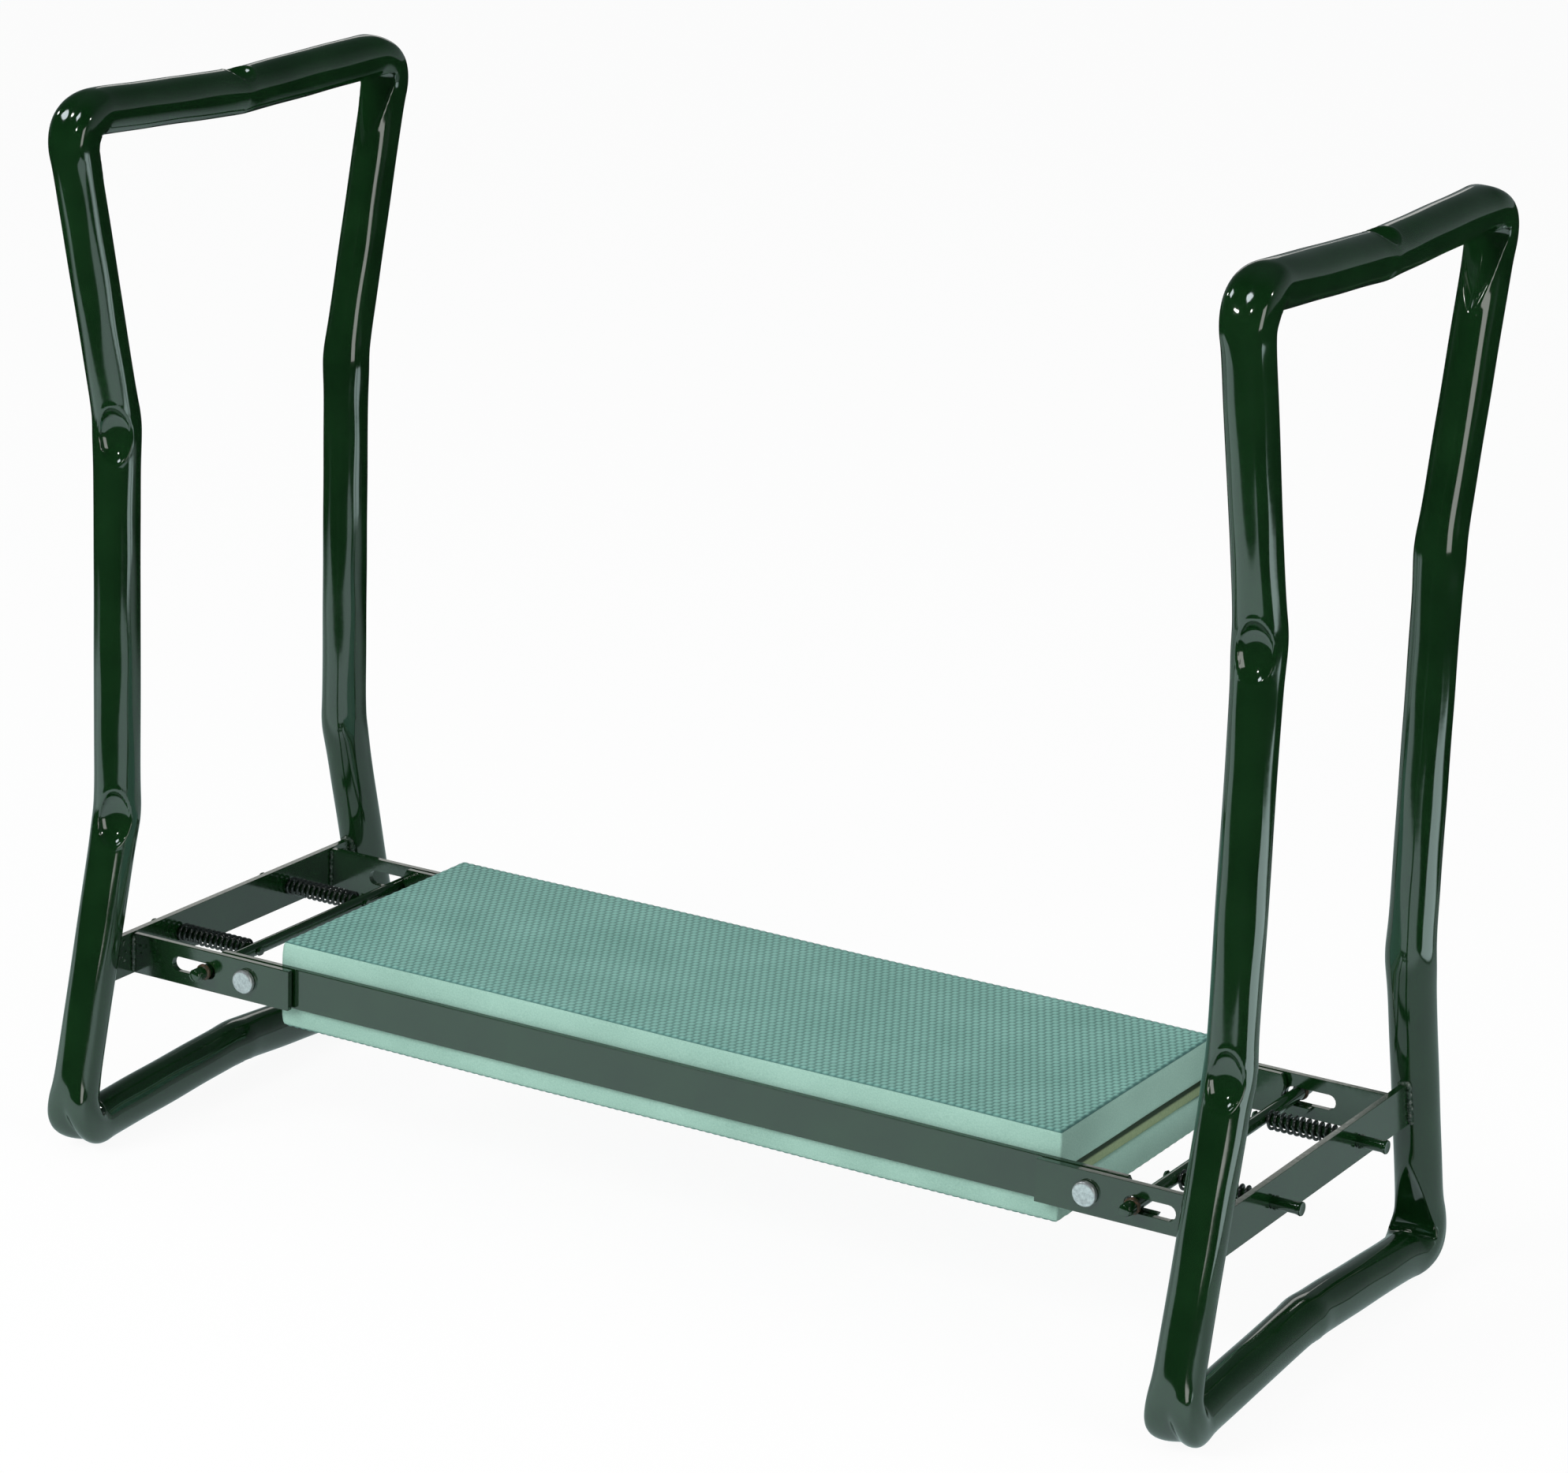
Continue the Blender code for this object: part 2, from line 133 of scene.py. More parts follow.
# Foam slabs, as the CAD has them, and the cells of the weave pressed into their faces.
PAD_HALF_X = 0.1987
PAD_HALF_Y = 0.0709
PAD_TOP_Z = 0.1060
UPPER_PAD_BOTTOM_Z = 0.0872
LOWER_PAD_TOP_Z = 0.0796
PAD_BOTTOM_Z = 0.0645
CELL_X = 0.0036
CELL_Y = 0.00333
CELL_ROWS = 21
WEAVE_DEPTH = 0.00055
EDGE_ROUND = 0.0011
SIDE_LEVELS = (0.10, 0.30, 0.55, 0.80, 0.94, 1.0)
# Heights where the board turns to its dark top band: partly its own colour, partly painted shade under
# the upper slab.
BOARD_DARK_BAND_Z = (0.0835, 0.0845)

# Camera: where it stands, how it is turned (degrees), and its lens on a 36 mm wide sensor.
CAMERA_PLACE = (1.0627, -1.7813, 0.8544)
CAMERA_YAW = 30.41
CAMERA_PITCH = 16.94
CAMERA_ROLL = 2.08
CAMERA_LENS = 113.77

# What glossy surfaces see below them: a white table, and a bright patch beyond its right edge.
TABLE_X = (-1.10, 0.62)
TABLE_Y = (-0.56, 0.62)
TABLE_GLOW = 0.42
FRONT_GLOW = 0.38
FRONT_EDGE_Y = -0.12
PATCH_X = (0.66, 1.15)
PATCH_Y = (-0.11, 0.48)
PATCH_GLOW = 1.9
ROOM_GLOW = 0.012

# Small bright lamps that show as dots on the paint.
LAMPS = (
    ("lamp_left", (-2.02, -0.36, 1.7)),
    ("lamp_front", (-0.43, -2.0, 1.7)),
    ("lamp_right", (2.04, 0.14, 1.7)),
)
LAMP_SIZE = 0.12
LAMP_RADIANCE = 60.0
LAMP_AIM = (0.0, 0.0, 0.3)

# Colours, in linear light.
PAINT_DARK = (0.0022, 0.0150, 0.0034)
PAINT_LIGHT = (0.0040, 0.0220, 0.0056)
PLAIN_LIGHT = (1.0, 1.0, 0.97)
COOL_LIGHT = (0.86, 0.95, 1.0)

# ---------------------------------------------------------------- materials


def new_material(name):
    made = bpy.data.materials.new(name)
    made.use_nodes = True
    return made, made.node_tree, made.node_tree.nodes["Principled BSDF"]


def node(tree, kind, links=(), **settings):
    """A shader node with its settings and its inputs: each link is (input, socket or value)."""
    made = tree.nodes.new("ShaderNode" + kind)
    for key, value in settings.items():
        setattr(made, key, value)
    for name, value in links:
        if isinstance(value, bpy.types.NodeSocket):
            tree.links.new(value, made.inputs[name])
        else:
            made.inputs[name].default_value = value
    return made


def maths(tree, operation, *values):
    links = [(i, value) for i, value in enumerate(values)]
    return node(tree, "Math", links, operation=operation).outputs[0]


def object_place(tree, stretch=(1.0, 1.0, 1.0)):
    """A point's own place on its piece, in metres."""
    place = node(tree, "TexCoord").outputs["Object"]
    if stretch == (1.0, 1.0, 1.0):
        return place
    return node(tree, "Mapping", [("Vector", place), ("Scale", stretch)]).outputs[0]


def noise(tree, place, scale, detail=2.0, roughness=0.5):
    links = [("Vector", place), ("Scale", scale), ("Detail", detail), ("Roughness", roughness)]
    return node(tree, "TexNoise", links).outputs["Fac"]


def ramp(tree, value, stops):
    """Colours along a value from 0 to 1. Each stop is (position, (red, green, blue))."""
    made = node(tree, "ValToRGB", [("Fac", value)])
    band = made.color_ramp
    while len(band.elements) < len(stops):
        band.elements.new(0.5)
    for element, (position, colour) in zip(band.elements, stops):
        element.position = position
        element.color = (*colour, 1.0)
    return made.outputs["Color"]


def bump(tree, height, distance, under=None, strength=1.0):
    links = [("Height", height), ("Distance", distance), ("Strength", strength)]
    if under is not None:
        links.append(("Normal", under))
    return node(tree, "Bump", links).outputs["Normal"]


def map_range(tree, value, low, high, to_low=0.0, to_high=1.0, smooth=False):
    links = [(0, value), (1, low), (2, high), (3, to_low), (4, to_high)]
    kind = "SMOOTHSTEP" if smooth else "LINEAR"
    return node(tree, "MapRange", links, interpolation_type=kind).outputs[0]


def specks(tree, place, scale, size):
    """1 at scattered grains: one in each cell of the given scale, size as a share of the cell."""
    cells = node(tree, "TexVoronoi", [("Vector", place), ("Scale", scale)])
    return map_range(tree, cells.outputs["Distance"], size, 0.0, smooth=True)


def multiplied(tree, first, second):
    """Two colours multiplied."""
    made = node(tree, "Mix", data_type="RGBA", blend_type="MULTIPLY")
    made.inputs[0].default_value = 1.0
    tree.links.new(first, made.inputs[6])
    tree.links.new(second, made.inputs[7])
    return made.outputs[2]


def paint(name, grain):
    """Glossy green paint with a little orange peel, dust nibs and, on flat bars, more grain."""
    made, tree, shader = new_material(name)
    place = object_place(tree)
    cloud = noise(tree, place, 38.0, 3.0)
    green = ramp(tree, cloud, [(0.3, PAINT_DARK), (0.7, PAINT_LIGHT)])
    tree.links.new(green, shader.inputs["Base Color"])
    smudge = noise(tree, place, 420.0, 4.0, 0.6)
    gloss = map_range(tree, smudge, 0.3, 0.7, 0.07, 0.07 + 0.10 * grain)
    tree.links.new(gloss, shader.inputs["Roughness"])
    shader.inputs["IOR"].default_value = 1.95
    peel = bump(tree, noise(tree, place, 260.0, 1.5), 0.010 * MM)
    fine = bump(tree, noise(tree, place, 1500.0, 2.0), 0.0045 * grain * MM, peel)
    nibs = bump(tree, specks(tree, place, 75.0, 0.030), 0.10 * MM, fine)
    tree.links.new(nibs, shader.inputs["Normal"])
    return made


def zinc():
    """Zinc-plated steel, dulled and a little scratched."""
    made, tree, shader = new_material("zinc_plate_worn")
    place = object_place(tree)
    cloud = noise(tree, place, 700.0, 5.0, 0.65)
    colours = [(0.30, (0.50, 0.53, 0.55)), (0.62, (0.80, 0.83, 0.85))]
    tree.links.new(ramp(tree, cloud, colours), shader.inputs["Base Color"])
    shader.inputs["Metallic"].default_value = 0.85
    gloss = map_range(tree, noise(tree, place, 1200.0, 3.0), 0.3, 0.7, 0.28, 0.46)
    tree.links.new(gloss, shader.inputs["Roughness"])
    worn = bump(tree, noise(tree, place, 900.0, 4.0, 0.6), 0.03 * MM)
    tree.links.new(worn, shader.inputs["Normal"])
    return made


def spring_steel():
    """Black oiled spring wire."""
    made, tree, shader = new_material("spring_steel_black")
    place = object_place(tree)
    cloud = noise(tree, place, 500.0, 3.0)
    colours = [(0.3, (0.004, 0.006, 0.006)), (0.7, (0.016, 0.020, 0.018))]
    tree.links.new(ramp(tree, cloud, colours), shader.inputs["Base Color"])
    shader.inputs["Roughness"].default_value = 0.10
    shader.inputs["IOR"].default_value = 1.8
    tree.links.new(bump(tree, noise(tree, place, 1400.0, 2.0), 0.006 * MM), shader.inputs["Normal"])
    return made


def bare_ring():
    """The rod's pressed ring, where the paint has rubbed through to brown primer."""
    made, tree, shader = new_material("rubbed_ring")
    place = object_place(tree)
    cloud = noise(tree, place, 600.0, 4.0, 0.6)
    colours = [(0.35, (0.010, 0.022, 0.012)), (0.62, (0.075, 0.040, 0.024))]
    tree.links.new(ramp(tree, cloud, colours), shader.inputs["Base Color"])
    shader.inputs["Roughness"].default_value = 0.35
    tree.links.new(bump(tree, cloud, 0.05 * MM), shader.inputs["Normal"])
    return made


def weld_metal():
    """Painted weld: dark green in the hollows, thin and pale on the crests and the spatter."""
    made, tree, shader = new_material("painted_weld")
    place = object_place(tree)
    cloud = noise(tree, place, 520.0, 4.0, 0.6)
    hollow, thin, bare = (0.008, 0.024, 0.012), (0.05, 0.065, 0.055), (0.30, 0.33, 0.30)
    colours = [(0.42, hollow), (0.60, thin), (0.78, bare)]
    tree.links.new(ramp(tree, cloud, colours), shader.inputs["Base Color"])
    shader.inputs["Roughness"].default_value = 0.20
    tree.links.new(bump(tree, cloud, 0.12 * MM), shader.inputs["Normal"])
    return made


def blended(tree, first, second, share):
    """A share of the first value and the rest of the second."""
    part = maths(tree, "MULTIPLY", first, share)
    rest = maths(tree, "MULTIPLY", second, round(1.0 - share, 6))
    return maths(tree, "ADD", part, rest)


def cut_foam():
    """Cut face of closed-cell foam: pale mint with fine pores and faint saw marks."""
    made, tree, shader = new_material("foam_cut_face")
    place = object_place(tree)
    pores = noise(tree, place, 1500.0, 3.0, 0.7)
    cloud = noise(tree, place, 22.0, 3.0)
    tone = blended(tree, pores, cloud, 0.6)
    deep, middle, pale = (0.200, 0.335, 0.285), (0.255, 0.415, 0.355), (0.31, 0.485, 0.42)
    colours = [(0.32, deep), (0.52, middle), (0.72, pale)]
    tree.links.new(ramp(tree, tone, colours), shader.inputs["Base Color"])
    shader.inputs["Roughness"].default_value = 0.85
    shader.inputs["Specular IOR Level"].default_value = 0.25
    marks = bump(tree, noise(tree, object_place(tree, (1.0, 1.0, 6.0)), 220.0, 3.0), 0.05 * MM)
    tree.links.new(bump(tree, pores, 0.10 * MM, marks), shader.inputs["Normal"])
    return made


def foam_skin():
    """The slabs' pressed skin: teal, with painted shade darkening it down in the weave's grooves."""
    made, tree, shader = new_material("foam_pressed_skin")
    place = object_place(tree)
    cloud = noise(tree, place, 30.0, 4.0, 0.55)
    grain = noise(tree, place, 2200.0, 2.0, 0.6)
    tone = blended(tree, cloud, grain, 0.5)
    skin = ramp(tree, tone, [(0.34, (0.172, 0.370, 0.320)), (0.66, (0.235, 0.465, 0.410))])
    height = node(tree, "Attribute", attribute_name="weave").outputs["Fac"]
    # painted shade: the skin's colour is darkened where the weave is low, in its grooves
    groove_shade = ramp(tree, height, [(0.08, (0.24, 0.32, 0.33)), (0.62, (1.0, 1.0, 1.0))])
    tree.links.new(multiplied(tree, skin, groove_shade), shader.inputs["Base Color"])
    shader.inputs["Roughness"].default_value = 0.55
    shader.inputs["Specular IOR Level"].default_value = 0.35
    tree.links.new(bump(tree, grain, 0.05 * MM), shader.inputs["Normal"])
    return made


def board_material():
    """The board between the slabs: pale olive pressed board, dark green along its top band under the
    upper slab, partly its own colour and partly painted shade from the slab.
    """
    made, tree, shader = new_material("pressed_board")
    cloud = noise(tree, object_place(tree, (1.0, 6.0, 6.0)), 180.0, 5.0, 0.6)
    body = ramp(tree, cloud, [(0.3, (0.160, 0.230, 0.120)), (0.7, (0.230, 0.300, 0.165))])
    rise = node(tree, "SeparateXYZ", [(0, object_place(tree))]).outputs[2]
    # painted shade: the board is darkened along its top band just under the upper slab, partly its own
    # dark green and partly the slab's shade
    above = map_range(tree, rise, *BOARD_DARK_BAND_Z)
    top_band_colour_and_shade = ramp(tree, above, [(0.0, (1.0, 1.0, 1.0)), (1.0, (0.05, 0.10, 0.07))])
    tree.links.new(multiplied(tree, body, top_band_colour_and_shade), shader.inputs["Base Color"])
    shader.inputs["Roughness"].default_value = 0.70
    tree.links.new(bump(tree, cloud, 0.08 * MM), shader.inputs["Normal"])
    return made


# ---------------------------------------------------------------- mesh helpers


def add_piece(name, mesh, materials, body, replaced=()):
    """A mesh as a named piece that rides on a body and stands for CAD nodes."""
    made = bpy.data.objects.new(name, mesh)
    bpy.context.scene.collection.objects.link(made)
    for finish in materials:
        made.data.materials.append(finish)
    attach(made, body)
    if replaced:
        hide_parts(*replaced)
    return made


def shade(mesh, angle=40):
    mesh.shade_smooth()
    mesh.set_sharp_from_angle(angle=math.radians(angle))


def mesh_of(name, points, faces):
    mesh = bpy.data.meshes.new(name)
    mesh.from_pydata([tuple(p) for p in points], [], [tuple(f) for f in faces])
    mesh.update()
    return mesh


def grid_faces(rows, columns, close_rows=False, close_columns=False):
    """Quads over a grid of points numbered row by row."""
    row = np.arange(rows if close_rows else rows - 1)
    column = np.arange(columns if close_columns else columns - 1)
    r, c = (a.ravel() for a in np.meshgrid(row, column, indexing="ij"))
    r_next, c_next = (r + 1) % rows, (c + 1) % columns
    quads = [r * columns + c, r * columns + c_next, r_next * columns + c_next, r_next * columns + c]
    return np.stack(quads, axis=1)


def point_out(mesh):
    """Turns a closed mesh's faces outwards."""
    shape = bmesh.new()
    shape.from_mesh(mesh)
    bmesh.ops.recalc_face_normals(shape, faces=shape.faces)
    shape.to_mesh(mesh)
    shape.free()


def turned(name, profile, place, segments=48):
    """A turned mesh: profile is (radius, height) down its outer side, placed by a matrix."""
    shape = bmesh.new()
    closed = profile[0][0] > 0.0
    corners = [shape.verts.new((radius, 0.0, height)) for radius, height in profile]
    edges = [shape.edges.new(pair) for pair in zip(corners, corners[1:])]
    if closed:
        edges.append(shape.edges.new((corners[-1], corners[0])))
    bmesh.ops.spin(
        shape,
        geom=corners + edges,
        axis=(0.0, 0.0, 1.0),
        cent=(0.0, 0.0, 0.0),
        angle=2 * math.pi,
        steps=segments,
    )
    bmesh.ops.remove_doubles(shape, verts=shape.verts, dist=0.000002)
    bmesh.ops.recalc_face_normals(shape, faces=shape.faces)
    bmesh.ops.transform(shape, matrix=place, verts=shape.verts)
    shape.verts.index_update()
    points = [tuple(vert.co) for vert in shape.verts]
    faces = sorted(tuple(vert.index for vert in face.verts) for face in shape.faces)
    shape.free()
    mesh = mesh_of(name, points, faces)
    shade(mesh, 50)
    return mesh


def eased(profile, edge=0.0004):
    """A profile with a small round put on each of its corners."""
    out = [profile[0]]
    for before, here, after in zip(profile, profile[1:], profile[2:]):
        a, b, c = Vector(before), Vector(here), Vector(after)
        reach = min(edge, (a - b).length / 2.5, (c - b).length / 2.5)
        start, end = b + (a - b).normalized() * reach, b + (c - b).normalized() * reach
        middle = (start + end + 2 * b) / 4
        out += [tuple(start), tuple(middle), tuple(end)]
    out.append(profile[-1])
    return out


def wire(name, points, radius, segments=10):
    """A round wire along points, closed at both ends."""
    points = np.array(points, float)
    ahead = np.gradient(points, axis=0)
    ahead /= np.linalg.norm(ahead, axis=1)[:, None]
    side = np.cross(ahead[0], (0.0, 0.31, 0.95))
    side /= np.linalg.norm(side)
    rings = []
    for centre, way in zip(points, ahead):
        side = side - way * (side @ way)
        side /= np.linalg.norm(side)
        other = np.cross(way, side)
        turn = np.arange(segments) * 2 * math.pi / segments
        rings.append(centre + radius * (np.outer(np.cos(turn), side) + np.outer(np.sin(turn), other)))
    faces = grid_faces(len(points), segments, close_columns=True).tolist()
    faces.append(list(range(segments)))
    faces.append(list(range((len(points) - 1) * segments, len(points) * segments)))
    mesh = mesh_of(name, np.concatenate(rings), faces)
    point_out(mesh)
    shade(mesh, 60)
    return mesh


def softened_copy(name, source, width):
    """A CAD node's own shape with its split corners joined and its sharp edges eased."""
    shape = bmesh.new()
    shape.from_mesh(source.data)
    bmesh.ops.remove_doubles(shape, verts=shape.verts, dist=0.000001)
    flat = math.radians(0.5)
    bmesh.ops.dissolve_limit(shape, angle_limit=flat, verts=shape.verts, edges=shape.edges)
    sharp = [e for e in shape.edges if len(e.link_faces) == 2 and e.calc_face_angle() > math.radians(50)]
    bmesh.ops.bevel(
        shape,
        geom=sharp,
        offset=width,
        offset_type="OFFSET",
        segments=3,
        profile=0.6,
        affect="EDGES",
        clamp_overlap=True,
    )
    bmesh.ops.recalc_face_normals(shape, faces=shape.faces)
    mesh = bpy.data.meshes.new(name)
    shape.to_mesh(mesh)
    shape.free()
    mesh.shade_smooth()
    return mesh


def keep_faces_flat(made):
    """Lets the big faces set the shading, so that eased edges don't bend the light on them."""
    change = made.modifiers.new("flat faces", "WEIGHTED_NORMAL")
    change.mode = "FACE_AREA"
    change.weight = 100
    change.keep_sharp = True


# ---------------------------------------------------------------- leg tubes


def rounded(corners, bends, steps):
    """A closed line through corners, with each corner turned on its own bend radius."""
    line = []
    for i, corner in enumerate(corners):
        here = Vector(corner)
        back = (Vector(corners[i - 1]) - here).normalized()
        ahead = (Vector(corners[(i + 1) % len(corners)]) - here).normalized()
        half = back.angle(ahead) / 2
        centre = here + (back + ahead).normalized() * (bends[i] / math.sin(half))
        first = (here + back * (bends[i] / math.tan(half)) - centre).normalized()
        last = (here + ahead * (bends[i] / math.tan(half)) - centre).normalized()
        for k in range(steps + 1):
            line.append(centre + first.slerp(last, k / steps) * bends[i])
    return line


def tube_corners():
    right_half = [HANDLE_CORNER, UPPER_WAIST, LOWER_WAIST, FOOT_CORNER]
    left_half = [(-y, z) for y, z in reversed(right_half)]
    return [(0.0, HANDLE_MIDDLE_Z)] + right_half + [(0.0, FOOT_MIDDLE_Z)] + left_half


class Route:
    """The tube's closed centreline, with places along it measured in metres from its start."""

    def __init__(self):
        half_bends = [CORNER_BEND, WAIST_BEND, WAIST_BEND, CORNER_BEND]
        bends = [MIDDLE_BEND] + half_bends + [MIDDLE_BEND] + half_bends[::-1]
        line = np.array([tuple(p) for p in rounded(tube_corners(), bends, 60)])
        self.points = np.vstack([line, line[:1]])
        steps = np.linalg.norm(np.diff(self.points, axis=0), axis=1)
        self.along = np.concatenate([[0.0], np.cumsum(steps)])
        self.length = self.along[-1]

    def at(self, s):
        s = np.mod(s, self.length)
        y = np.interp(s, self.along, self.points[:, 0])
        return np.stack([y, np.interp(s, self.along, self.points[:, 1])], axis=-1)

    def ahead(self, s, reach=0.0006):
        step = self.at(s + reach) - self.at(s - reach)
        return step / np.linalg.norm(step, axis=-1, keepdims=True)

    def nearest(self, place):
        fine = np.arange(0.0, self.length, 0.0002)
        return fine[np.argmin(np.linalg.norm(self.at(fine) - np.array(place), axis=1))]

    def offset(self, s, here):
        """How far s lies past here, the short way round."""
        return np.mod(s - here + self.length / 2, self.length) - self.length / 2


def stations(route, features):
    """Places along the tube for its rings: close together near the features."""
    places = [0.0]
    while places[-1] < route.length:
        away = min(abs(float(route.offset(places[-1], here))) - reach for here, reach in features)
        places.append(places[-1] + float(np.interp(away, [0.0, 0.012], [0.00085, 0.0035])))
    places = np.array(places[:-1])
    spare = 0.0005
    return places * (route.length / (route.length + spare))


def soft_min(a, b, blend):
    """The lower of two surfaces, with the edge between them rounded."""
    near = np.clip(blend - np.abs(a - b), 0.0, None) / blend
    return np.minimum(a, b) - near * near * blend / 4


def pressed(outward, floor, rim, edge=0.0008):
    """A surface pressed down to a floor, with a little metal pushed up round the rim."""
    gap = (outward - floor) / 0.0011
    return soft_min(outward, floor, edge) + rim * np.exp(-gap * gap)


def turned_by(out, across, angle):
    """The section's own coordinates, turned about the tube's centreline."""
    c, s = math.cos(angle), math.sin(angle)
    return out * c + across * s, across * c - out * s


def pit(out, across, height, size=1.0):
    """A round pit pressed into a bend's hollow side, steepest at its lower end."""
    up = np.clip(height, 0.0, None) / (0.0165 * size)
    down = np.clip(-height, 0.0, None) / (0.0138 * size)
    far = (up * up + down * down + (across / 0.0100) ** 2) ** 1.35
    floor = TUBE_RADIUS - 0.0052 * size + 0.055 * height * size + 0.0055 * size * far
    return pressed(out, floor, 0.00030, 0.0007)


def corner_dent(inward, across, toward_upright):
    """The inner side of a corner: a V crushed far up the upright, and less along the bar."""
    up = np.clip(toward_upright, 0.0, None) / DENT_UP
    bar = np.clip(-toward_upright, 0.0, None) / DENT_ALONG_BAR
    side = np.abs(across) / TUBE_RADIUS
    floor = TUBE_RADIUS - DENT_DEPTH * (1.0 - up**1.5) + DENT_DEPTH * bar
    floor = floor + 0.0012 * side**2 + 0.0030 * side * up
    crease = np.exp(-((2 * toward_upright / 0.0016) ** 2))
    floor = floor - 0.0010 * crease
    return pressed(inward, floor, 0.00042, 0.0006)


def sunken(ring, off, sink, ridge, reach):
    """How far a corner's outer wall moves: sunk along its middle, with a ridge at each side."""
    away = np.abs(np.arctan2(np.sin(ring), np.cos(ring)))[None, :]
    ridges = ridge * np.exp(-(((away - 0.84) / 0.30) ** 2))
    valley = sink * np.exp(-((away / 0.42) ** 2))
    return (ridges - valley) * np.exp(-((off / reach) ** 2))


def crushed_radius(ring, offs):
    """The section's radius round and along the tube: the corners' outer walls have sunk."""
    radius = np.full((len(offs[0]), RING_POINTS), TUBE_RADIUS)
    for k, off in enumerate(offs):
        if k in HANDLE_CORNERS:
            radius = radius + sunken(ring, off, *HANDLE_CRUSH)
        elif k in FOOT_CORNERS:
            radius = radius + sunken(ring, off, *FOOT_CRUSH)
    return radius


def dent_corner(k, off, ring, out, across):
    """A corner's inner side pressed in, and how much wider the tube gets there."""
    toward_upright = off if k in UPRIGHT_AHEAD else -off
    dent = corner_dent(-out, across, toward_upright)
    inner = np.cos(ring)[None, :] <= -0.2
    out = np.where(inner & (np.abs(off) < DENT_SPAN), -dent, out)
    bulge = FOOT_BULGE if k in FOOT_CORNERS else HANDLE_BULGE
    return out, across, bulge * np.exp(-((off / CORNER_BULGE_REACH) ** 2))


def pit_place(k, off, side):
    """Where a bend's pit is: its turn about the tube, the height along it, and its size."""
    if k in (HANDLE_MIDDLE, FOOT_MIDDLE):
        turn = MIDDLE_PIT_TURN if k == HANDLE_MIDDLE else 0.0
        return turn, 1.7 * off + 0.002, MIDDLE_PIT_SIZE
    drop = UPPER_PIT_DROP if k in UPPER_WAISTS else LOWER_PIT_DROP
    if k in FRONT_WAISTS:
        return PIT_TURN[side], off + drop, 1.0
    return 0.0, -off + drop, 1.0


def press_pit(k, off, side, out, across):
    """A bend's pit pressed in, and how much wider the tube gets there."""
    turn, height, size = pit_place(k, off, side)
    turned_out, turned_across = turned_by(out, across, turn)
    dent = pit(turned_out, turned_across, height, size)
    hit = (turned_out > 0.0) & (np.abs(off) < PIT_SPAN)
    turned_out = np.where(hit, dent, turned_out)
    out, across = turned_by(turned_out, turned_across, -turn)
    return out, across, PIT_BULGE * size * np.exp(-((height / 0.012) ** 2))


def unevenness(place, ring, phase):
    """A slight unevenness of the section's size, round and along the tube."""
    uneven = np.sin(place * 61.0 + phase) * np.cos(ring * 2 + 1.0 + phase)[None, :]
    uneven = uneven + 0.6 * np.sin(place * 143.0 + 2 * phase) * np.cos(ring * 3 - phase)[None, :]
    return 1.0 + UNEVENNESS / TUBE_RADIUS * uneven


def tube_section(side, sign, place, offs):
    """The tube's section at each place: how far out and across each ring's points are."""
    ring = np.arange(RING_POINTS) * 2 * math.pi / RING_POINTS
    radius = crushed_radius(ring, offs)
    out, across = radius * np.cos(ring)[None, :], radius * np.sin(ring)[None, :]
    widen = np.zeros_like(place)
    for k, off in enumerate(offs):
        if k in HANDLE_CORNERS + FOOT_CORNERS:
            out, across, wider = dent_corner(k, off, ring, out, across)
        else:
            out, across, wider = press_pit(k, off, side, out, across)
        widen = widen + wider
    across = across * (1.0 + widen / TUBE_RADIUS)
    scale = unevenness(place, ring, 1.3 * sign)
    return out * scale, across * scale


def formed_tube(side, sign):
    """One leg's tube, with every bend's dents, flats and bulges."""
    route = Route()
    marks = [float(route.nearest(corner)) for corner in tube_corners()]
    s = stations(route, list(zip(marks, FEATURE_REACHES)))
    place = s[:, None]
    offs = [route.offset(place, mark) for mark in marks]
    out, across = tube_section(side, sign, place, offs)
    centre, ahead = route.at(s), route.ahead(s)
    normal = np.stack([-ahead[:, 1], ahead[:, 0]], axis=1)
    points = np.empty((len(s), RING_POINTS, 3))
    points[:, :, 0] = sign * LEG_X + across
    points[:, :, 1] = centre[:, None, 0] + out * normal[:, None, 0]
    points[:, :, 2] = centre[:, None, 1] + out * normal[:, None, 1]
    points[:, :, 2] = np.maximum(points[:, :, 2], 0.00005)
    faces = grid_faces(len(s), RING_POINTS, close_rows=True, close_columns=True)
    mesh = mesh_of(f"{side}_leg_tube_formed", points.reshape(-1, 3), faces)
    point_out(mesh)
    mesh.shade_smooth()
    add_piece(mesh.name, mesh, [TUBE_PAINT], f"{side}_leg", [f"{side}_leg_tube"])


def tube_inner_y(z):
    """Where the inner side of a leg's lower run is at a height."""
    (waist_y, waist_z), (foot_y, foot_z) = LOWER_WAIST, FOOT_CORNER
    lean = (foot_y - waist_y) / (waist_z - foot_z)
    centre_y = waist_y + (waist_z - z) * lean
    return centre_y - TUBE_RADIUS * math.hypot(1.0, lean)


# ---------------------------------------------------------------- bars, welds, turned parts


def dressed_bar(node_name, body):
    """A flat bar's CAD shape with eased edges and paint."""
    name = f"{node_name}_eased"
    mesh = softened_copy(name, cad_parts[node_name], 0.00035)
    made = add_piece(name, mesh, [BAR_PAINT], body, [node_name])
    keep_faces_flat(made)


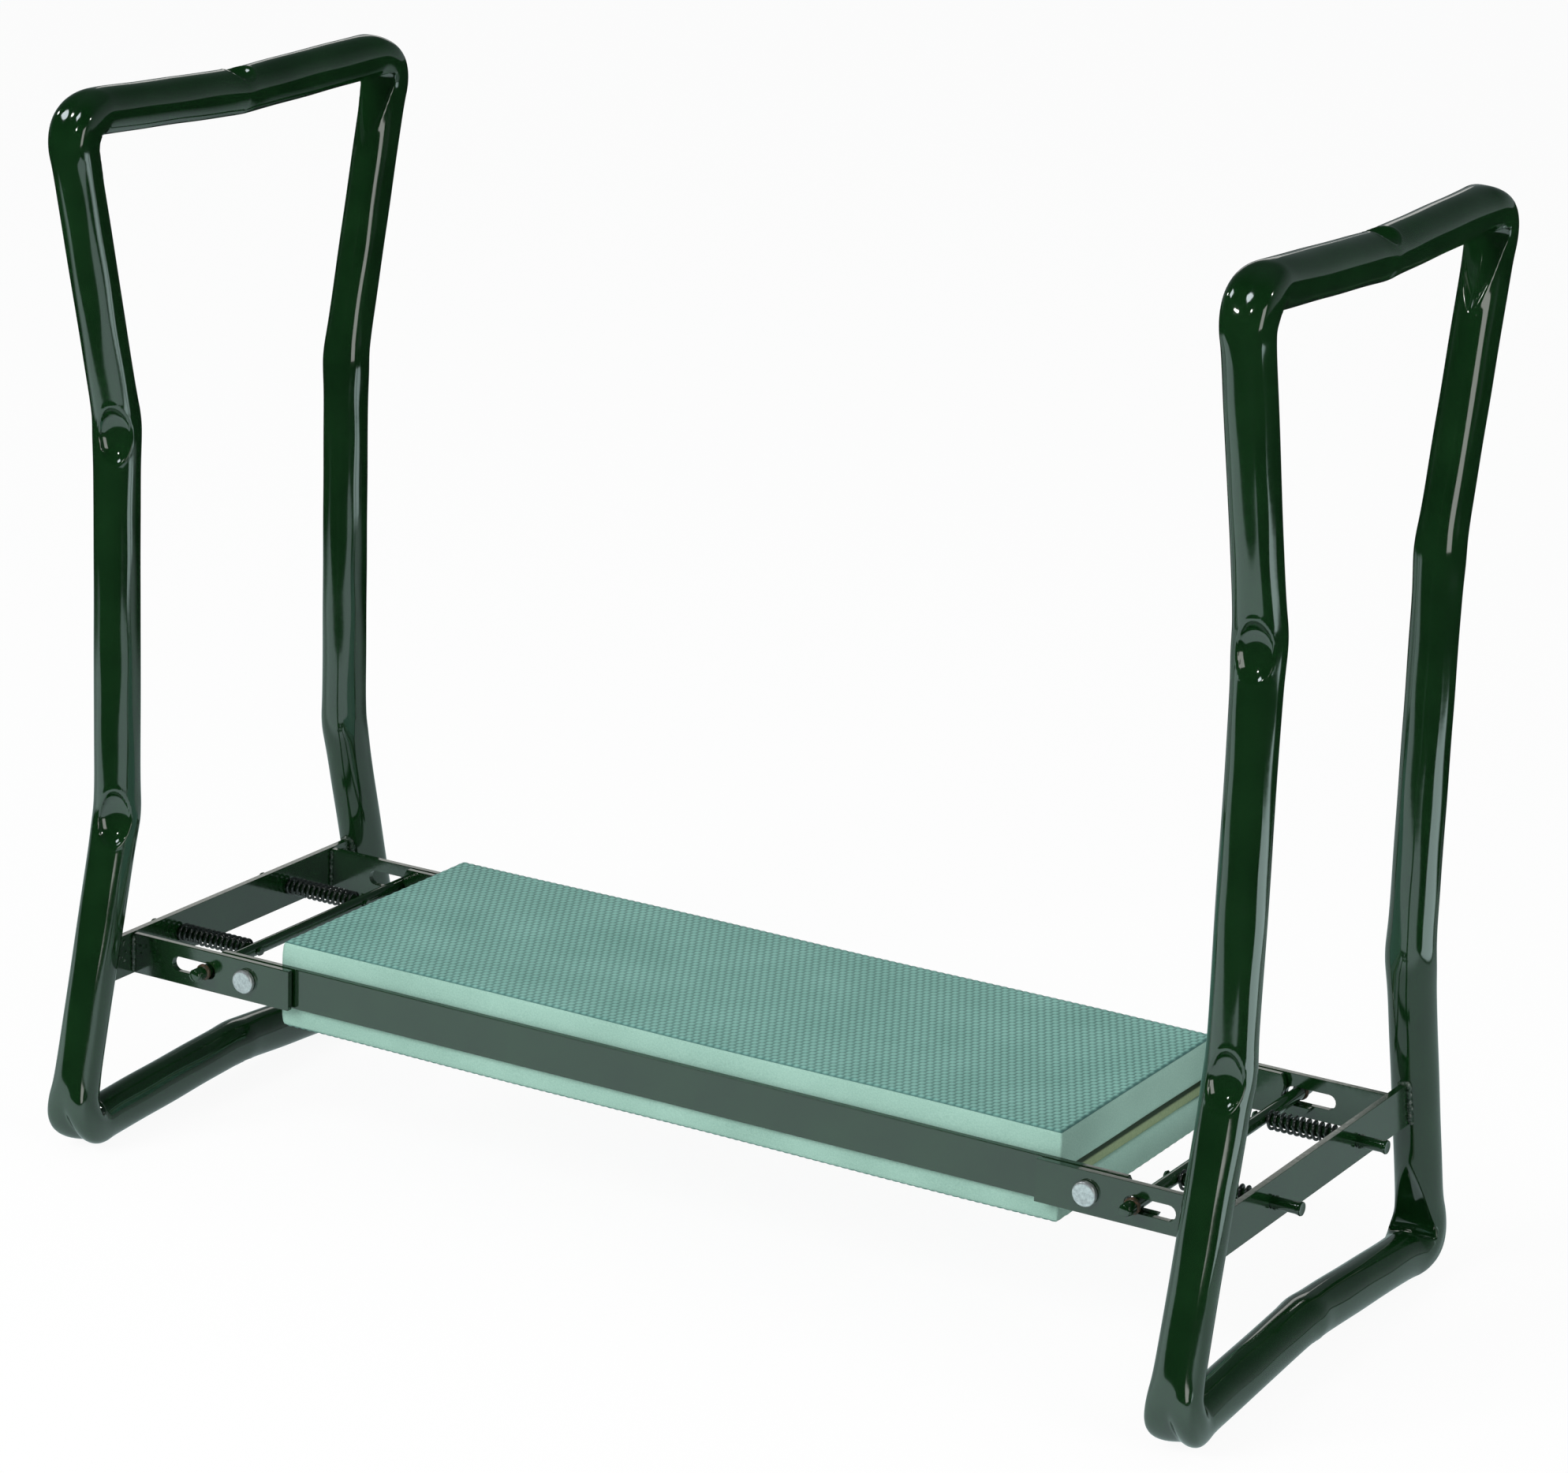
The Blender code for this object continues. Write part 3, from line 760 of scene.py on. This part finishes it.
def weld(name, runs, body, seed, spatter=()):
    """A weld: overlapping lumps along each run, (start, end, radius), joined into one skin."""
    rng = np.random.RandomState(seed)
    shape = bmesh.new()
    blobs = []
    for start, end, radius in runs:
        start, end = np.array(start, float), np.array(end, float)
        count = max(2, int(np.linalg.norm(end - start) / (0.75 * radius)))
        for share in np.linspace(0.0, 1.0, count):
            place = start + (end - start) * share + rng.normal(0.0, 0.10 * radius, 3)
            blobs.append((place, radius * rng.uniform(0.85, 1.2)))
    for place, radius, spread, count in spatter:
        for _ in range(count):
            shift = rng.uniform(-1.0, 1.0, 3) * np.array(spread)
            blobs.append((np.array(place) + shift, radius * rng.uniform(0.6, 1.3)))
    for place, radius in blobs:
        made = bmesh.ops.create_icosphere(shape, subdivisions=2, radius=radius)
        squash = rng.uniform(0.8, 1.15, 3)
        for vert in made["verts"]:
            vert.co = Vector([vert.co[i] * squash[i] + place[i] for i in range(3)])
    mesh = bpy.data.meshes.new(name)
    shape.to_mesh(mesh)
    shape.free()
    made = bpy.data.objects.new(name, mesh)
    bpy.context.scene.collection.objects.link(made)
    remesh = made.modifiers.new("one skin", "REMESH")
    remesh.mode = "VOXEL"
    remesh.voxel_size = 0.00032
    smooth = made.modifiers.new("flow", "SMOOTH")
    smooth.iterations = 2
    bpy.context.view_layer.update()
    seen = made.evaluated_get(bpy.context.evaluated_depsgraph_get())
    joined = bpy.data.meshes.new_from_object(seen)
    bpy.data.objects.remove(made, do_unlink=True)
    joined.name = name
    joined.shade_smooth()
    add_piece(name, joined, [WELD], body)


def leg_welds(side, sign):
    body = f"{side}_leg"
    low, high = BAR_Z - CROSS_HEIGHT / 2, BAR_Z + CROSS_HEIGHT / 2
    for number, (end, way) in enumerate(ENDS):
        runs = []
        for face in (-1, 1):
            x = sign * LEG_X + face * (BAR_THICK / 2 + 0.0004)
            start = (x, way * (tube_inner_y(low) - 0.0004), low + 0.001)
            stop = (x, way * (tube_inner_y(high) - 0.0004), high - 0.0005)
            runs.append((start, stop, 0.0015))
        top_y = way * (tube_inner_y(high) - 0.0004)
        top = ((sign * LEG_X - 0.0016, top_y, high), (sign * LEG_X + 0.0016, top_y, high), 0.0014)
        runs.append(top)
        inner_x = sign * (LEG_X - BAR_THICK / 2)
        patch_y = way * (ARM_INNER_Y + 0.012)
        spatter = [((inner_x, patch_y, BAR_Z + 0.001), 0.00055, (0.0002, 0.004, 0.008), 22)]
        weld(f"{side}_{end}_tube_weld", runs, body, 11 + number + 10 * sign, spatter)
        x = sign * (LEG_X - BAR_THICK / 2 - 0.0006)
        outer = way * (ARM_INNER_Y + BAR_THICK + 0.0003)
        inner = way * (ARM_INNER_Y - 0.0003)
        runs = [((x, y, low + 0.002), (x, y, high - 0.002), 0.0009) for y in (outer, inner)]
        weld(f"{side}_{end}_arm_weld", runs, body, 31 + number + 10 * sign)


ALONG_X = Matrix.Rotation(math.radians(90), 4, "Y")
ALONG_Y = Matrix.Rotation(math.radians(-90), 4, "X")
HALF_TURN = Matrix.Rotation(math.pi, 4, "X")


def rivet(side, sign, end, way):
    """A flat-headed rivet through rail and arm, with its washer between the two."""
    arm_face = ARM_INNER_Y + BAR_THICK + GAP
    rail_face = RAIL_OUTER_Y - BAR_THICK - GAP
    top = arm_face + RIVET_HEAD_HEIGHT
    bottom = rail_face - 0.8 * RIVET_HEAD_HEIGHT
    radius = RIVET_HEAD_RADIUS
    profile = [
        (0.0, top - 0.00018),
        (0.45 * radius, top - 0.00016),
        (0.80 * radius, top),
        (0.93 * radius, top - 0.00012),
        (radius, top - 0.0006),
        (radius, arm_face),
        (RIVET_SHANK_RADIUS, arm_face),
        (RIVET_SHANK_RADIUS, rail_face),
        (0.8 * radius, rail_face),
        (0.6 * radius, bottom),
        (0.0, bottom),
    ]
    turn = ALONG_Y if way > 0 else ALONG_Y @ HALF_TURN
    place = Matrix.Translation((sign * PIVOT_X, 0.0, BAR_Z)) @ turn
    name = f"{side}_{end}_rivet_turned"
    mesh = turned(name, eased(profile, 0.0003), place, 56)
    add_piece(name, mesh, [ZINC], "seat", [f"{side}_{end}_rivet"])
    low, high = RAIL_OUTER_Y + GAP, ARM_INNER_Y - GAP
    ring = [
        (RIVET_HOLE_RADIUS, high),
        (WASHER_RADIUS - 0.0001, high),
        (WASHER_RADIUS, high - 0.0001),
        (WASHER_RADIUS, low + 0.0001),
        (WASHER_RADIUS - 0.0001, low),
        (RIVET_HOLE_RADIUS, low),
    ]
    name = f"{side}_{end}_washer_turned"
    mesh = turned(name, ring, place, 48)
    add_piece(name, mesh, [ZINC], "seat", [f"{side}_{end}_washer"])


def lock_rod(side, sign):
    """The lock rod, domed at its ends, with a pressed ring outside each arm."""
    face = ARM_INNER_Y + BAR_THICK + 2 * GAP
    half = [
        (0.0, ROD_HALF_LENGTH),
        (0.55 * ROD_RADIUS, ROD_HALF_LENGTH - 0.00010),
        (0.85 * ROD_RADIUS, ROD_HALF_LENGTH - 0.00045),
        (ROD_RADIUS, ROD_HALF_LENGTH - 0.0012),
        (ROD_RADIUS, face + 0.0032),
        (ROD_RADIUS, face),
    ]
    profile = half + [(radius, -height) for radius, height in reversed(half)]
    place = Matrix.Translation((sign * ROD_X, 0.0, BAR_Z)) @ ALONG_Y
    body = f"{side}_lock"
    name = f"{side}_lock_rod_turned"
    mesh = turned(name, profile, place, 40)
    add_piece(name, mesh, [TUBE_PAINT], body, [f"{side}_lock_rod"])
    for end, way in ENDS:
        ring = [
            (0.98 * ROD_RADIUS, face + 0.0026),
            (1.12 * ROD_RADIUS, face + 0.0024),
            (1.26 * ROD_RADIUS, face + 0.0016),
            (1.26 * ROD_RADIUS, face + 0.0008),
            (1.10 * ROD_RADIUS, face + 0.0003),
            (0.98 * ROD_RADIUS, face + 0.0002),
        ]
        turn = place if way > 0 else place @ HALF_TURN
        name = f"{side}_{end}_rod_ring"
        add_piece(name, turned(name, ring, turn, 40), [BARE_RING], body)


def guide_pin(side, sign, end, way):
    """A pin through the cross bar, with two staked ears outside it and a flared end."""
    outer_face = LEG_X + BAR_THICK / 2
    shoulder = ROD_X + ROD_RADIUS + GAP
    peened = ROD_X - ROD_RADIUS - GAP
    profile = [
        (0.0, PIN_END_X - 0.0003),
        (0.75 * PIN_RADIUS, PIN_END_X - 0.0002),
        (1.12 * PIN_RADIUS, PIN_END_X),
        (1.20 * PIN_RADIUS, PIN_END_X - 0.0006),
        (1.05 * PIN_RADIUS, PIN_END_X - 0.0018),
        (PIN_RADIUS, PIN_END_X - 0.0030),
        (PIN_RADIUS, outer_face + GAP),
        (PIN_RADIUS, shoulder),
        (SPIGOT_RADIUS, shoulder),
        (SPIGOT_RADIUS, peened),
        (1.7 * SPIGOT_RADIUS, peened),
        (1.3 * SPIGOT_RADIUS, peened - 0.0011),
        (0.0, peened - 0.0011),
    ]
    turn = ALONG_X if sign > 0 else ALONG_X @ HALF_TURN
    place = Matrix.Translation((0.0, way * PIN_Y, BAR_Z)) @ turn
    body = f"{side}_lock"
    name = f"{side}_{end}_guide_pin_turned"
    mesh = turned(name, profile, place, 32)
    add_piece(name, mesh, [TUBE_PAINT], body, [f"{side}_{end}_guide_pin"])
    x = sign * (outer_face + 0.0016)
    reach = 0.00270
    lean = math.radians(62)
    ear = (math.cos(lean) * reach, math.sin(lean) * reach)
    runs = []
    for flip in (-1, 1):
        y, z = way * PIN_Y + flip * ear[0], BAR_Z + flip * ear[1]
        runs.append(((x - 0.0003, y, z), (x + 0.0005, y, z), 0.0006))
    weld(f"{side}_{end}_pin_ears", runs, body, 53 + way + 7 * sign)


def spring(side, sign, end, way):
    """A compression spring that closes up against the cross bar as its lock is drawn out."""
    start = ROD_X + ROD_RADIUS + SPRING_WIRE + GAP
    length = LEG_X - BAR_THICK / 2 - SPRING_WIRE - GAP - start
    per_turn = 22
    count = SPRING_TURNS * per_turn
    share = np.linspace(0.0, 1.0, count + 1)
    open_share = 1 - 2 * SPRING_CLOSED_SHARE
    spread = np.clip((share - SPRING_CLOSED_SHARE) / open_share, 0.0, 1.0)
    x = start + length * (0.030 * share + 0.970 * (0.25 * share + 0.75 * spread))
    angle = 2 * math.pi * SPRING_TURNS * share
    y = way * PIN_Y + SPRING_RADIUS * np.cos(angle)
    points = np.stack([sign * x, y, BAR_Z + SPRING_RADIUS * np.sin(angle)], axis=1)
    name = f"{side}_{end}_spring_coiled"
    mesh = wire(name, points, SPRING_WIRE, SPRING_WIRE_SIDES)
    node_name = f"{side}_{end}_spring"
    made = add_piece(name, mesh, [SPRING], f"{side}_leg", [node_name])
    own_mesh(made)


# ---------------------------------------------------------------- foam slabs


def weave_height(x, y):
    """The pressed weave: short raised threads along X, each row shifted by half a thread."""
    row = np.round(y / CELL_Y)
    shifted = x / CELL_X + 0.5 * np.mod(row, 2.0)
    dx, dy = shifted - np.round(shifted), y / CELL_Y - row
    thread = (1.0 - (np.abs(dx) / 0.52) ** 1.8) * (1.0 - 0.75 * (np.abs(dy) / 0.5) ** 1.6)
    return np.clip(thread, 0.0, 1.0)


def slab_grid():
    """The places across a slab's woven face, finer than the weave's cells."""
    columns = np.arange(-PAD_HALF_X, PAD_HALF_X + 1e-9, CELL_X / 6)
    columns = np.linspace(-PAD_HALF_X, PAD_HALF_X, len(columns) + 1)
    rows = np.arange(-CELL_ROWS, CELL_ROWS + 1e-9, 1 / 3) * CELL_Y
    rows = rows[np.abs(rows) < PAD_HALF_Y - 0.0004]
    rows = np.concatenate([[-PAD_HALF_Y], rows, [PAD_HALF_Y]])
    return np.meshgrid(columns, rows, indexing="ij")


def woven_face(x, y, face_z, way):
    """The woven face's points and the weave's height at each, soft at the slab's edges."""
    from_edge = np.minimum(PAD_HALF_X - np.abs(x), PAD_HALF_Y - np.abs(y))
    height = weave_height(x, y) * np.clip(from_edge / 0.0015, 0.0, 1.0)
    inward = 1 - np.clip(from_edge / EDGE_ROUND, 0, 1)
    round_over = EDGE_ROUND * (1 - np.sqrt(np.clip(1 - inward**2, 0, 1)))
    sag = 0.00020 * np.sin(x * 31.0 + 0.7) * np.sin(y * 47.0 + 1.9)
    z = face_z - way * (round_over * 0.55 + WEAVE_DEPTH * (1.0 - height) - sag - 0.0001)
    return np.stack([x, y, z], axis=-1), height


def grid_border(nx, ny):
    """The grid's edge places, in order all the way round."""
    border = [(i, 0) for i in range(nx)] + [(nx - 1, j) for j in range(1, ny)]
    border += [(i, ny - 1) for i in range(nx - 2, -1, -1)] + [(0, j) for j in range(ny - 2, 0, -1)]
    return np.array(border)


def slab_side(rim, far_z):
    """The cut side's rings of points, from just below the woven face's rim to the far face."""
    wave = np.sin(rim[:, 0] * 53.0) * np.sin(rim[:, 1] * 71.0 + 0.5)
    outward = rim[:, :2] / np.array([PAD_HALF_X, PAD_HALF_Y])
    outward = np.where(np.abs(outward) > 0.9999, np.sign(outward), 0.0)
    levels = []
    for share in SIDE_LEVELS:
        level = rim.copy()
        bow = 0.00055 * math.sin(math.pi * min(share * 1.05, 1.0)) + 0.00015
        tuck = 0.0008 if share == 1.0 else 0.0
        level[:, :2] += outward * (bow + 0.00012 * wave[:, None] - tuck)
        level[:, 2] = rim[:, 2] * (1 - share) + far_z * share
        levels.append(level)
    return levels


def slab(name, low_z, high_z, weave_up):
    """A foam slab with soft cut edges and the weave pressed into its outer face."""
    x, y = slab_grid()
    nx, ny = x.shape
    face_z, far_z, way = (high_z, low_z, 1.0) if weave_up else (low_z, high_z, -1.0)
    top, height = woven_face(x, y, face_z, way)
    border = grid_border(nx, ny)
    levels = slab_side(top[border[:, 0], border[:, 1]], far_z)
    points = np.concatenate([top.reshape(-1, 3)] + levels)
    faces = grid_faces(nx, ny).tolist()
    woven = len(faces)
    previous = border[:, 0] * ny + border[:, 1]
    for k in range(len(levels)):
        here = nx * ny + k * len(border) + np.arange(len(border))
        corners = [previous, np.roll(previous, -1), np.roll(here, -1), here]
        faces += np.stack(corners, axis=1).tolist()
        previous = here
    faces.append(previous.tolist())
    mesh = mesh_of(name, points, faces)
    point_out(mesh)
    mesh.shade_smooth()
    index = np.ones(len(mesh.polygons), np.int32)
    index[:woven] = 0
    mesh.polygons.foreach_set("material_index", index)
    values = np.ones(len(points), np.float32)
    values[: nx * ny] = height.ravel()
    mesh.attributes.new("weave", "FLOAT", "POINT").data.foreach_set("value", values)
    return mesh


def pads():
    for name, low, high, up in (
        ("upper_pad", UPPER_PAD_BOTTOM_Z, PAD_TOP_Z, True),
        ("lower_pad", PAD_BOTTOM_Z, LOWER_PAD_TOP_Z, False),
    ):
        mesh = slab(f"{name}_foam", low, high, up)
        made = add_piece(mesh.name, mesh, [FOAM_SKIN, CUT_FOAM], "seat", [name])


# ---------------------------------------------------------------- studio


def add_camera():
    yaw, pitch, roll = (math.radians(a) for a in (CAMERA_YAW, CAMERA_PITCH, CAMERA_ROLL))
    flat = math.cos(pitch)
    ahead = Vector((-math.sin(yaw) * flat, math.cos(yaw) * flat, -math.sin(pitch)))
    level = Vector((math.cos(yaw), math.sin(yaw), 0.0))
    above = level.cross(ahead)
    right = math.cos(roll) * level + math.sin(roll) * above
    top = -math.sin(roll) * level + math.cos(roll) * above
    data = bpy.data.cameras.new("camera")
    data.sensor_width = 36.0
    data.lens = CAMERA_LENS
    data.clip_end = 60.0
    made = bpy.data.objects.new("camera", data)
    bpy.context.scene.collection.objects.link(made)
    turn = Matrix((right, top, -ahead)).transposed().to_4x4()
    made.matrix_world = Matrix.Translation(CAMERA_PLACE) @ turn
    bpy.context.scene.camera = made


def inside(tree, value, low, high, soft_low, soft_high):
    """1 where a value lies between two limits, fading over a soft width at each."""
    rising = map_range(tree, value, low - soft_low, low + soft_low, smooth=True)
    falling = map_range(tree, value, high + soft_high, high - soft_high, smooth=True)
    return maths(tree, "MULTIPLY", rising, falling)


def table_shine(tree):
    """How brightly the floor shows in reflections: a white table in a dark room."""
    place = node(tree, "NewGeometry").outputs["Position"]
    split = node(tree, "SeparateXYZ", [(0, place)])
    x, y = split.outputs[0], split.outputs[1]
    across = inside(tree, x, *TABLE_X, 0.15, 0.015)
    deep = inside(tree, y, *TABLE_Y, 0.012, 0.22)
    table = maths(tree, "MULTIPLY", across, deep)
    front = inside(tree, y, -9.0, FRONT_EDGE_Y, 0.1, 0.07)
    bright = maths(tree, "ADD", maths(tree, "MULTIPLY", front, FRONT_GLOW), TABLE_GLOW)
    near_x = inside(tree, x, *PATCH_X, 0.012, 0.03)
    near_y = inside(tree, y, *PATCH_Y, 0.012, 0.06)
    patch = maths(tree, "MULTIPLY", maths(tree, "MULTIPLY", near_x, near_y), PATCH_GLOW)
    shine = maths(tree, "ADD", maths(tree, "MULTIPLY", table, bright), ROOM_GLOW)
    return maths(tree, "ADD", shine, patch)


def add_floor():
    """A pale sweep: nearly even to the camera, a table to reflections, plain to soft light."""
    size = 30.0
    corners = [(-size, -size, 0.0), (size, -size, 0.0), (size, size, 0.0), (-size, size, 0.0)]
    mesh = mesh_of("floor", corners, [(0, 1, 2, 3)])
    made = bpy.data.objects.new("floor", mesh)
    bpy.context.scene.collection.objects.link(made)
    finish = bpy.data.materials.new("pale_sweep")
    finish.use_nodes = True
    tree = finish.node_tree
    tree.nodes.clear()
    shine = table_shine(tree)
    mirrored = node(tree, "Emission", [("Color", (0.76, 0.97, 0.96, 1.0)), ("Strength", shine)])
    lit = node(tree, "BsdfDiffuse", [("Color", (0.93, 0.935, 0.93, 1.0))])
    glow = node(tree, "Emission", [("Color", (1.0, 1.0, 1.0, 1.0)), ("Strength", 0.93)])
    dimmed = node(tree, "BsdfDiffuse", [("Color", (0.06, 0.06, 0.06, 1.0))])
    seen = node(tree, "AddShader", [(0, glow.outputs[0]), (1, dimmed.outputs[0])])
    path = node(tree, "LightPath")
    by_camera = [(0, path.outputs["Is Camera Ray"]), (1, lit.outputs[0]), (2, seen.outputs[0])]
    first = node(tree, "MixShader", by_camera)
    by_gloss = [(0, path.outputs["Is Glossy Ray"]), (1, first.outputs[0]), (2, mirrored.outputs[0])]
    second = node(tree, "MixShader", by_gloss)
    last = node(tree, "OutputMaterial")
    tree.links.new(second.outputs[0], last.inputs[0])
    made.data.materials.append(finish)


def panel(name, place, aim, width, height, radiance, colour):
    """A softbox: a glowing sheet that faces a point and shows in reflections only."""
    corners = [(-0.5, -0.5, 0), (0.5, -0.5, 0), (0.5, 0.5, 0), (-0.5, 0.5, 0)]
    mesh = mesh_of(name, corners, [(0, 1, 2, 3)])
    made = bpy.data.objects.new(name, mesh)
    bpy.context.scene.collection.objects.link(made)
    turn = (Vector(aim) - Vector(place)).to_track_quat("Z", "Y").to_matrix().to_4x4()
    size = Matrix.Diagonal((width, height, 1.0, 1.0))
    made.matrix_world = Matrix.Translation(place) @ turn @ size
    finish = bpy.data.materials.new(name)
    finish.use_nodes = True
    tree = finish.node_tree
    tree.nodes.clear()
    glow = node(tree, "Emission", [("Color", (*colour, 1.0)), ("Strength", radiance)])
    back = node(tree, "BsdfTransparent")
    facing = node(tree, "NewGeometry").outputs["Backfacing"]
    mix = node(tree, "MixShader", [(0, facing), (1, glow.outputs[0]), (2, back.outputs[0])])
    last = node(tree, "OutputMaterial")
    tree.links.new(mix.outputs[0], last.inputs[0])
    made.data.materials.append(finish)
    made.visible_camera = False
    made.visible_diffuse = False
    made.visible_shadow = False


def area_light(name, place, aim, size, power, colour):
    """A soft lamp that lights surfaces but doesn't show in reflections."""
    data = bpy.data.lights.new(name, "AREA")
    data.shape = "SQUARE"
    data.size = size
    data.energy = power
    data.color = colour
    made = bpy.data.objects.new(name, data)
    bpy.context.scene.collection.objects.link(made)
    turn = (Vector(aim) - Vector(place)).to_track_quat("-Z", "Y").to_matrix().to_4x4()
    made.matrix_world = Matrix.Translation(place) @ turn
    made.visible_glossy = False
    made.visible_camera = False


def add_world():
    """White to the camera, a dim room to reflections, and an even glow for soft fill light."""
    world = bpy.data.worlds.new("studio")
    world.use_nodes = True
    bpy.context.scene.world = world
    tree = world.node_tree
    tree.nodes.clear()
    path = node(tree, "LightPath")
    way = node(tree, "TexCoord").outputs["Generated"]
    split = node(tree, "SeparateXYZ", [(0, way)])
    rise = split.outputs[2]
    low, middle, high = (0.20, 0.235, 0.24), (0.10, 0.12, 0.125), (0.03, 0.035, 0.04)
    room = ramp(tree, rise, [(0.0, low), (0.25, middle), (0.60, high)])
    behind = map_range(tree, split.outputs[1], -0.3, 0.5, 0.06, 1.2, smooth=True)
    mirrored = node(tree, "Background", [("Color", room), ("Strength", behind)])
    fill = node(tree, "Background", [("Color", (0.97, 1.0, 1.0, 1.0)), ("Strength", 0.56)])
    white = node(tree, "Background", [("Color", (0.985, 0.99, 0.985, 1.0)), ("Strength", 1.0)])
    first = node(tree, "MixShader", [(0, path.outputs["Is Glossy Ray"]), (1, fill.outputs[0])])
    tree.links.new(mirrored.outputs[0], first.inputs[2])
    second = node(tree, "MixShader", [(0, path.outputs["Is Camera Ray"]), (1, first.outputs[0])])
    tree.links.new(white.outputs[0], second.inputs[2])
    last = node(tree, "OutputWorld")
    tree.links.new(second.outputs[0], last.inputs[0])


def add_studio():
    scene = bpy.context.scene
    scene.view_settings.view_transform = "Standard"
    scene.view_settings.look = "None"
    add_floor()
    add_world()
    box_aim, low_aim = (0.0, 0.0, 0.4), (0.0, 0.0, 0.25)
    panel("side_box", (1.98, -1.08, 0.72), box_aim, 0.80, 1.35, 2.0, PLAIN_LIGHT)
    panel("over_box", (-1.05, -0.85, 1.9), LAMP_AIM, 0.45, 0.40, 6.0, COOL_LIGHT)
    panel("back_box", (-1.75, 2.90, 1.25), low_aim, 1.5, 0.55, 1.1, PLAIN_LIGHT)
    for name, place in LAMPS:
        panel(name, place, LAMP_AIM, LAMP_SIZE, LAMP_SIZE, LAMP_RADIANCE, PLAIN_LIGHT)
    area_light("key", (-0.9, -2.2, 1.7), (0.0, 0.0, 0.1), 1.3, 60.0, (1.0, 1.0, 0.98))
    area_light("fill", (2.1, -0.7, 0.9), (0.0, 0.0, 0.1), 1.2, 20.0, (1.0, 1.0, 1.0))


# ---------------------------------------------------------------- the picture

TUBE_PAINT = paint("green_paint_tube", 0.35)
BAR_PAINT = paint("green_paint_bar", 1.0)
ZINC = zinc()
SPRING = spring_steel()
BARE_RING = bare_ring()
WELD = weld_metal()
CUT_FOAM = cut_foam()
FOAM_SKIN = foam_skin()
BOARD = board_material()


def dress_cad(node_name, finish):
    """Gives a CAD node that is shown as it is its finish."""
    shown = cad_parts[node_name]
    for place in shown.material_slots:
        place.material = finish


add_camera()
for side_name, side_sign in SIDES:
    formed_tube(side_name, side_sign)
    dressed_bar(f"{side_name}_cross_bar", f"{side_name}_leg")
    leg_welds(side_name, side_sign)
    lock_rod(side_name, side_sign)
    dress_cad(f"{side_name}_end_bar", BOARD)
    for end_name, end_way in ENDS:
        dressed_bar(f"{side_name}_{end_name}_arm", f"{side_name}_leg")
        rivet(side_name, side_sign, end_name, end_way)
        guide_pin(side_name, side_sign, end_name, end_way)
        spring(side_name, side_sign, end_name, end_way)
for end_name, end_way in ENDS:
    dressed_bar(f"{end_name}_rail", "seat")
dress_cad("seat_board", BOARD)
pads()
add_studio()
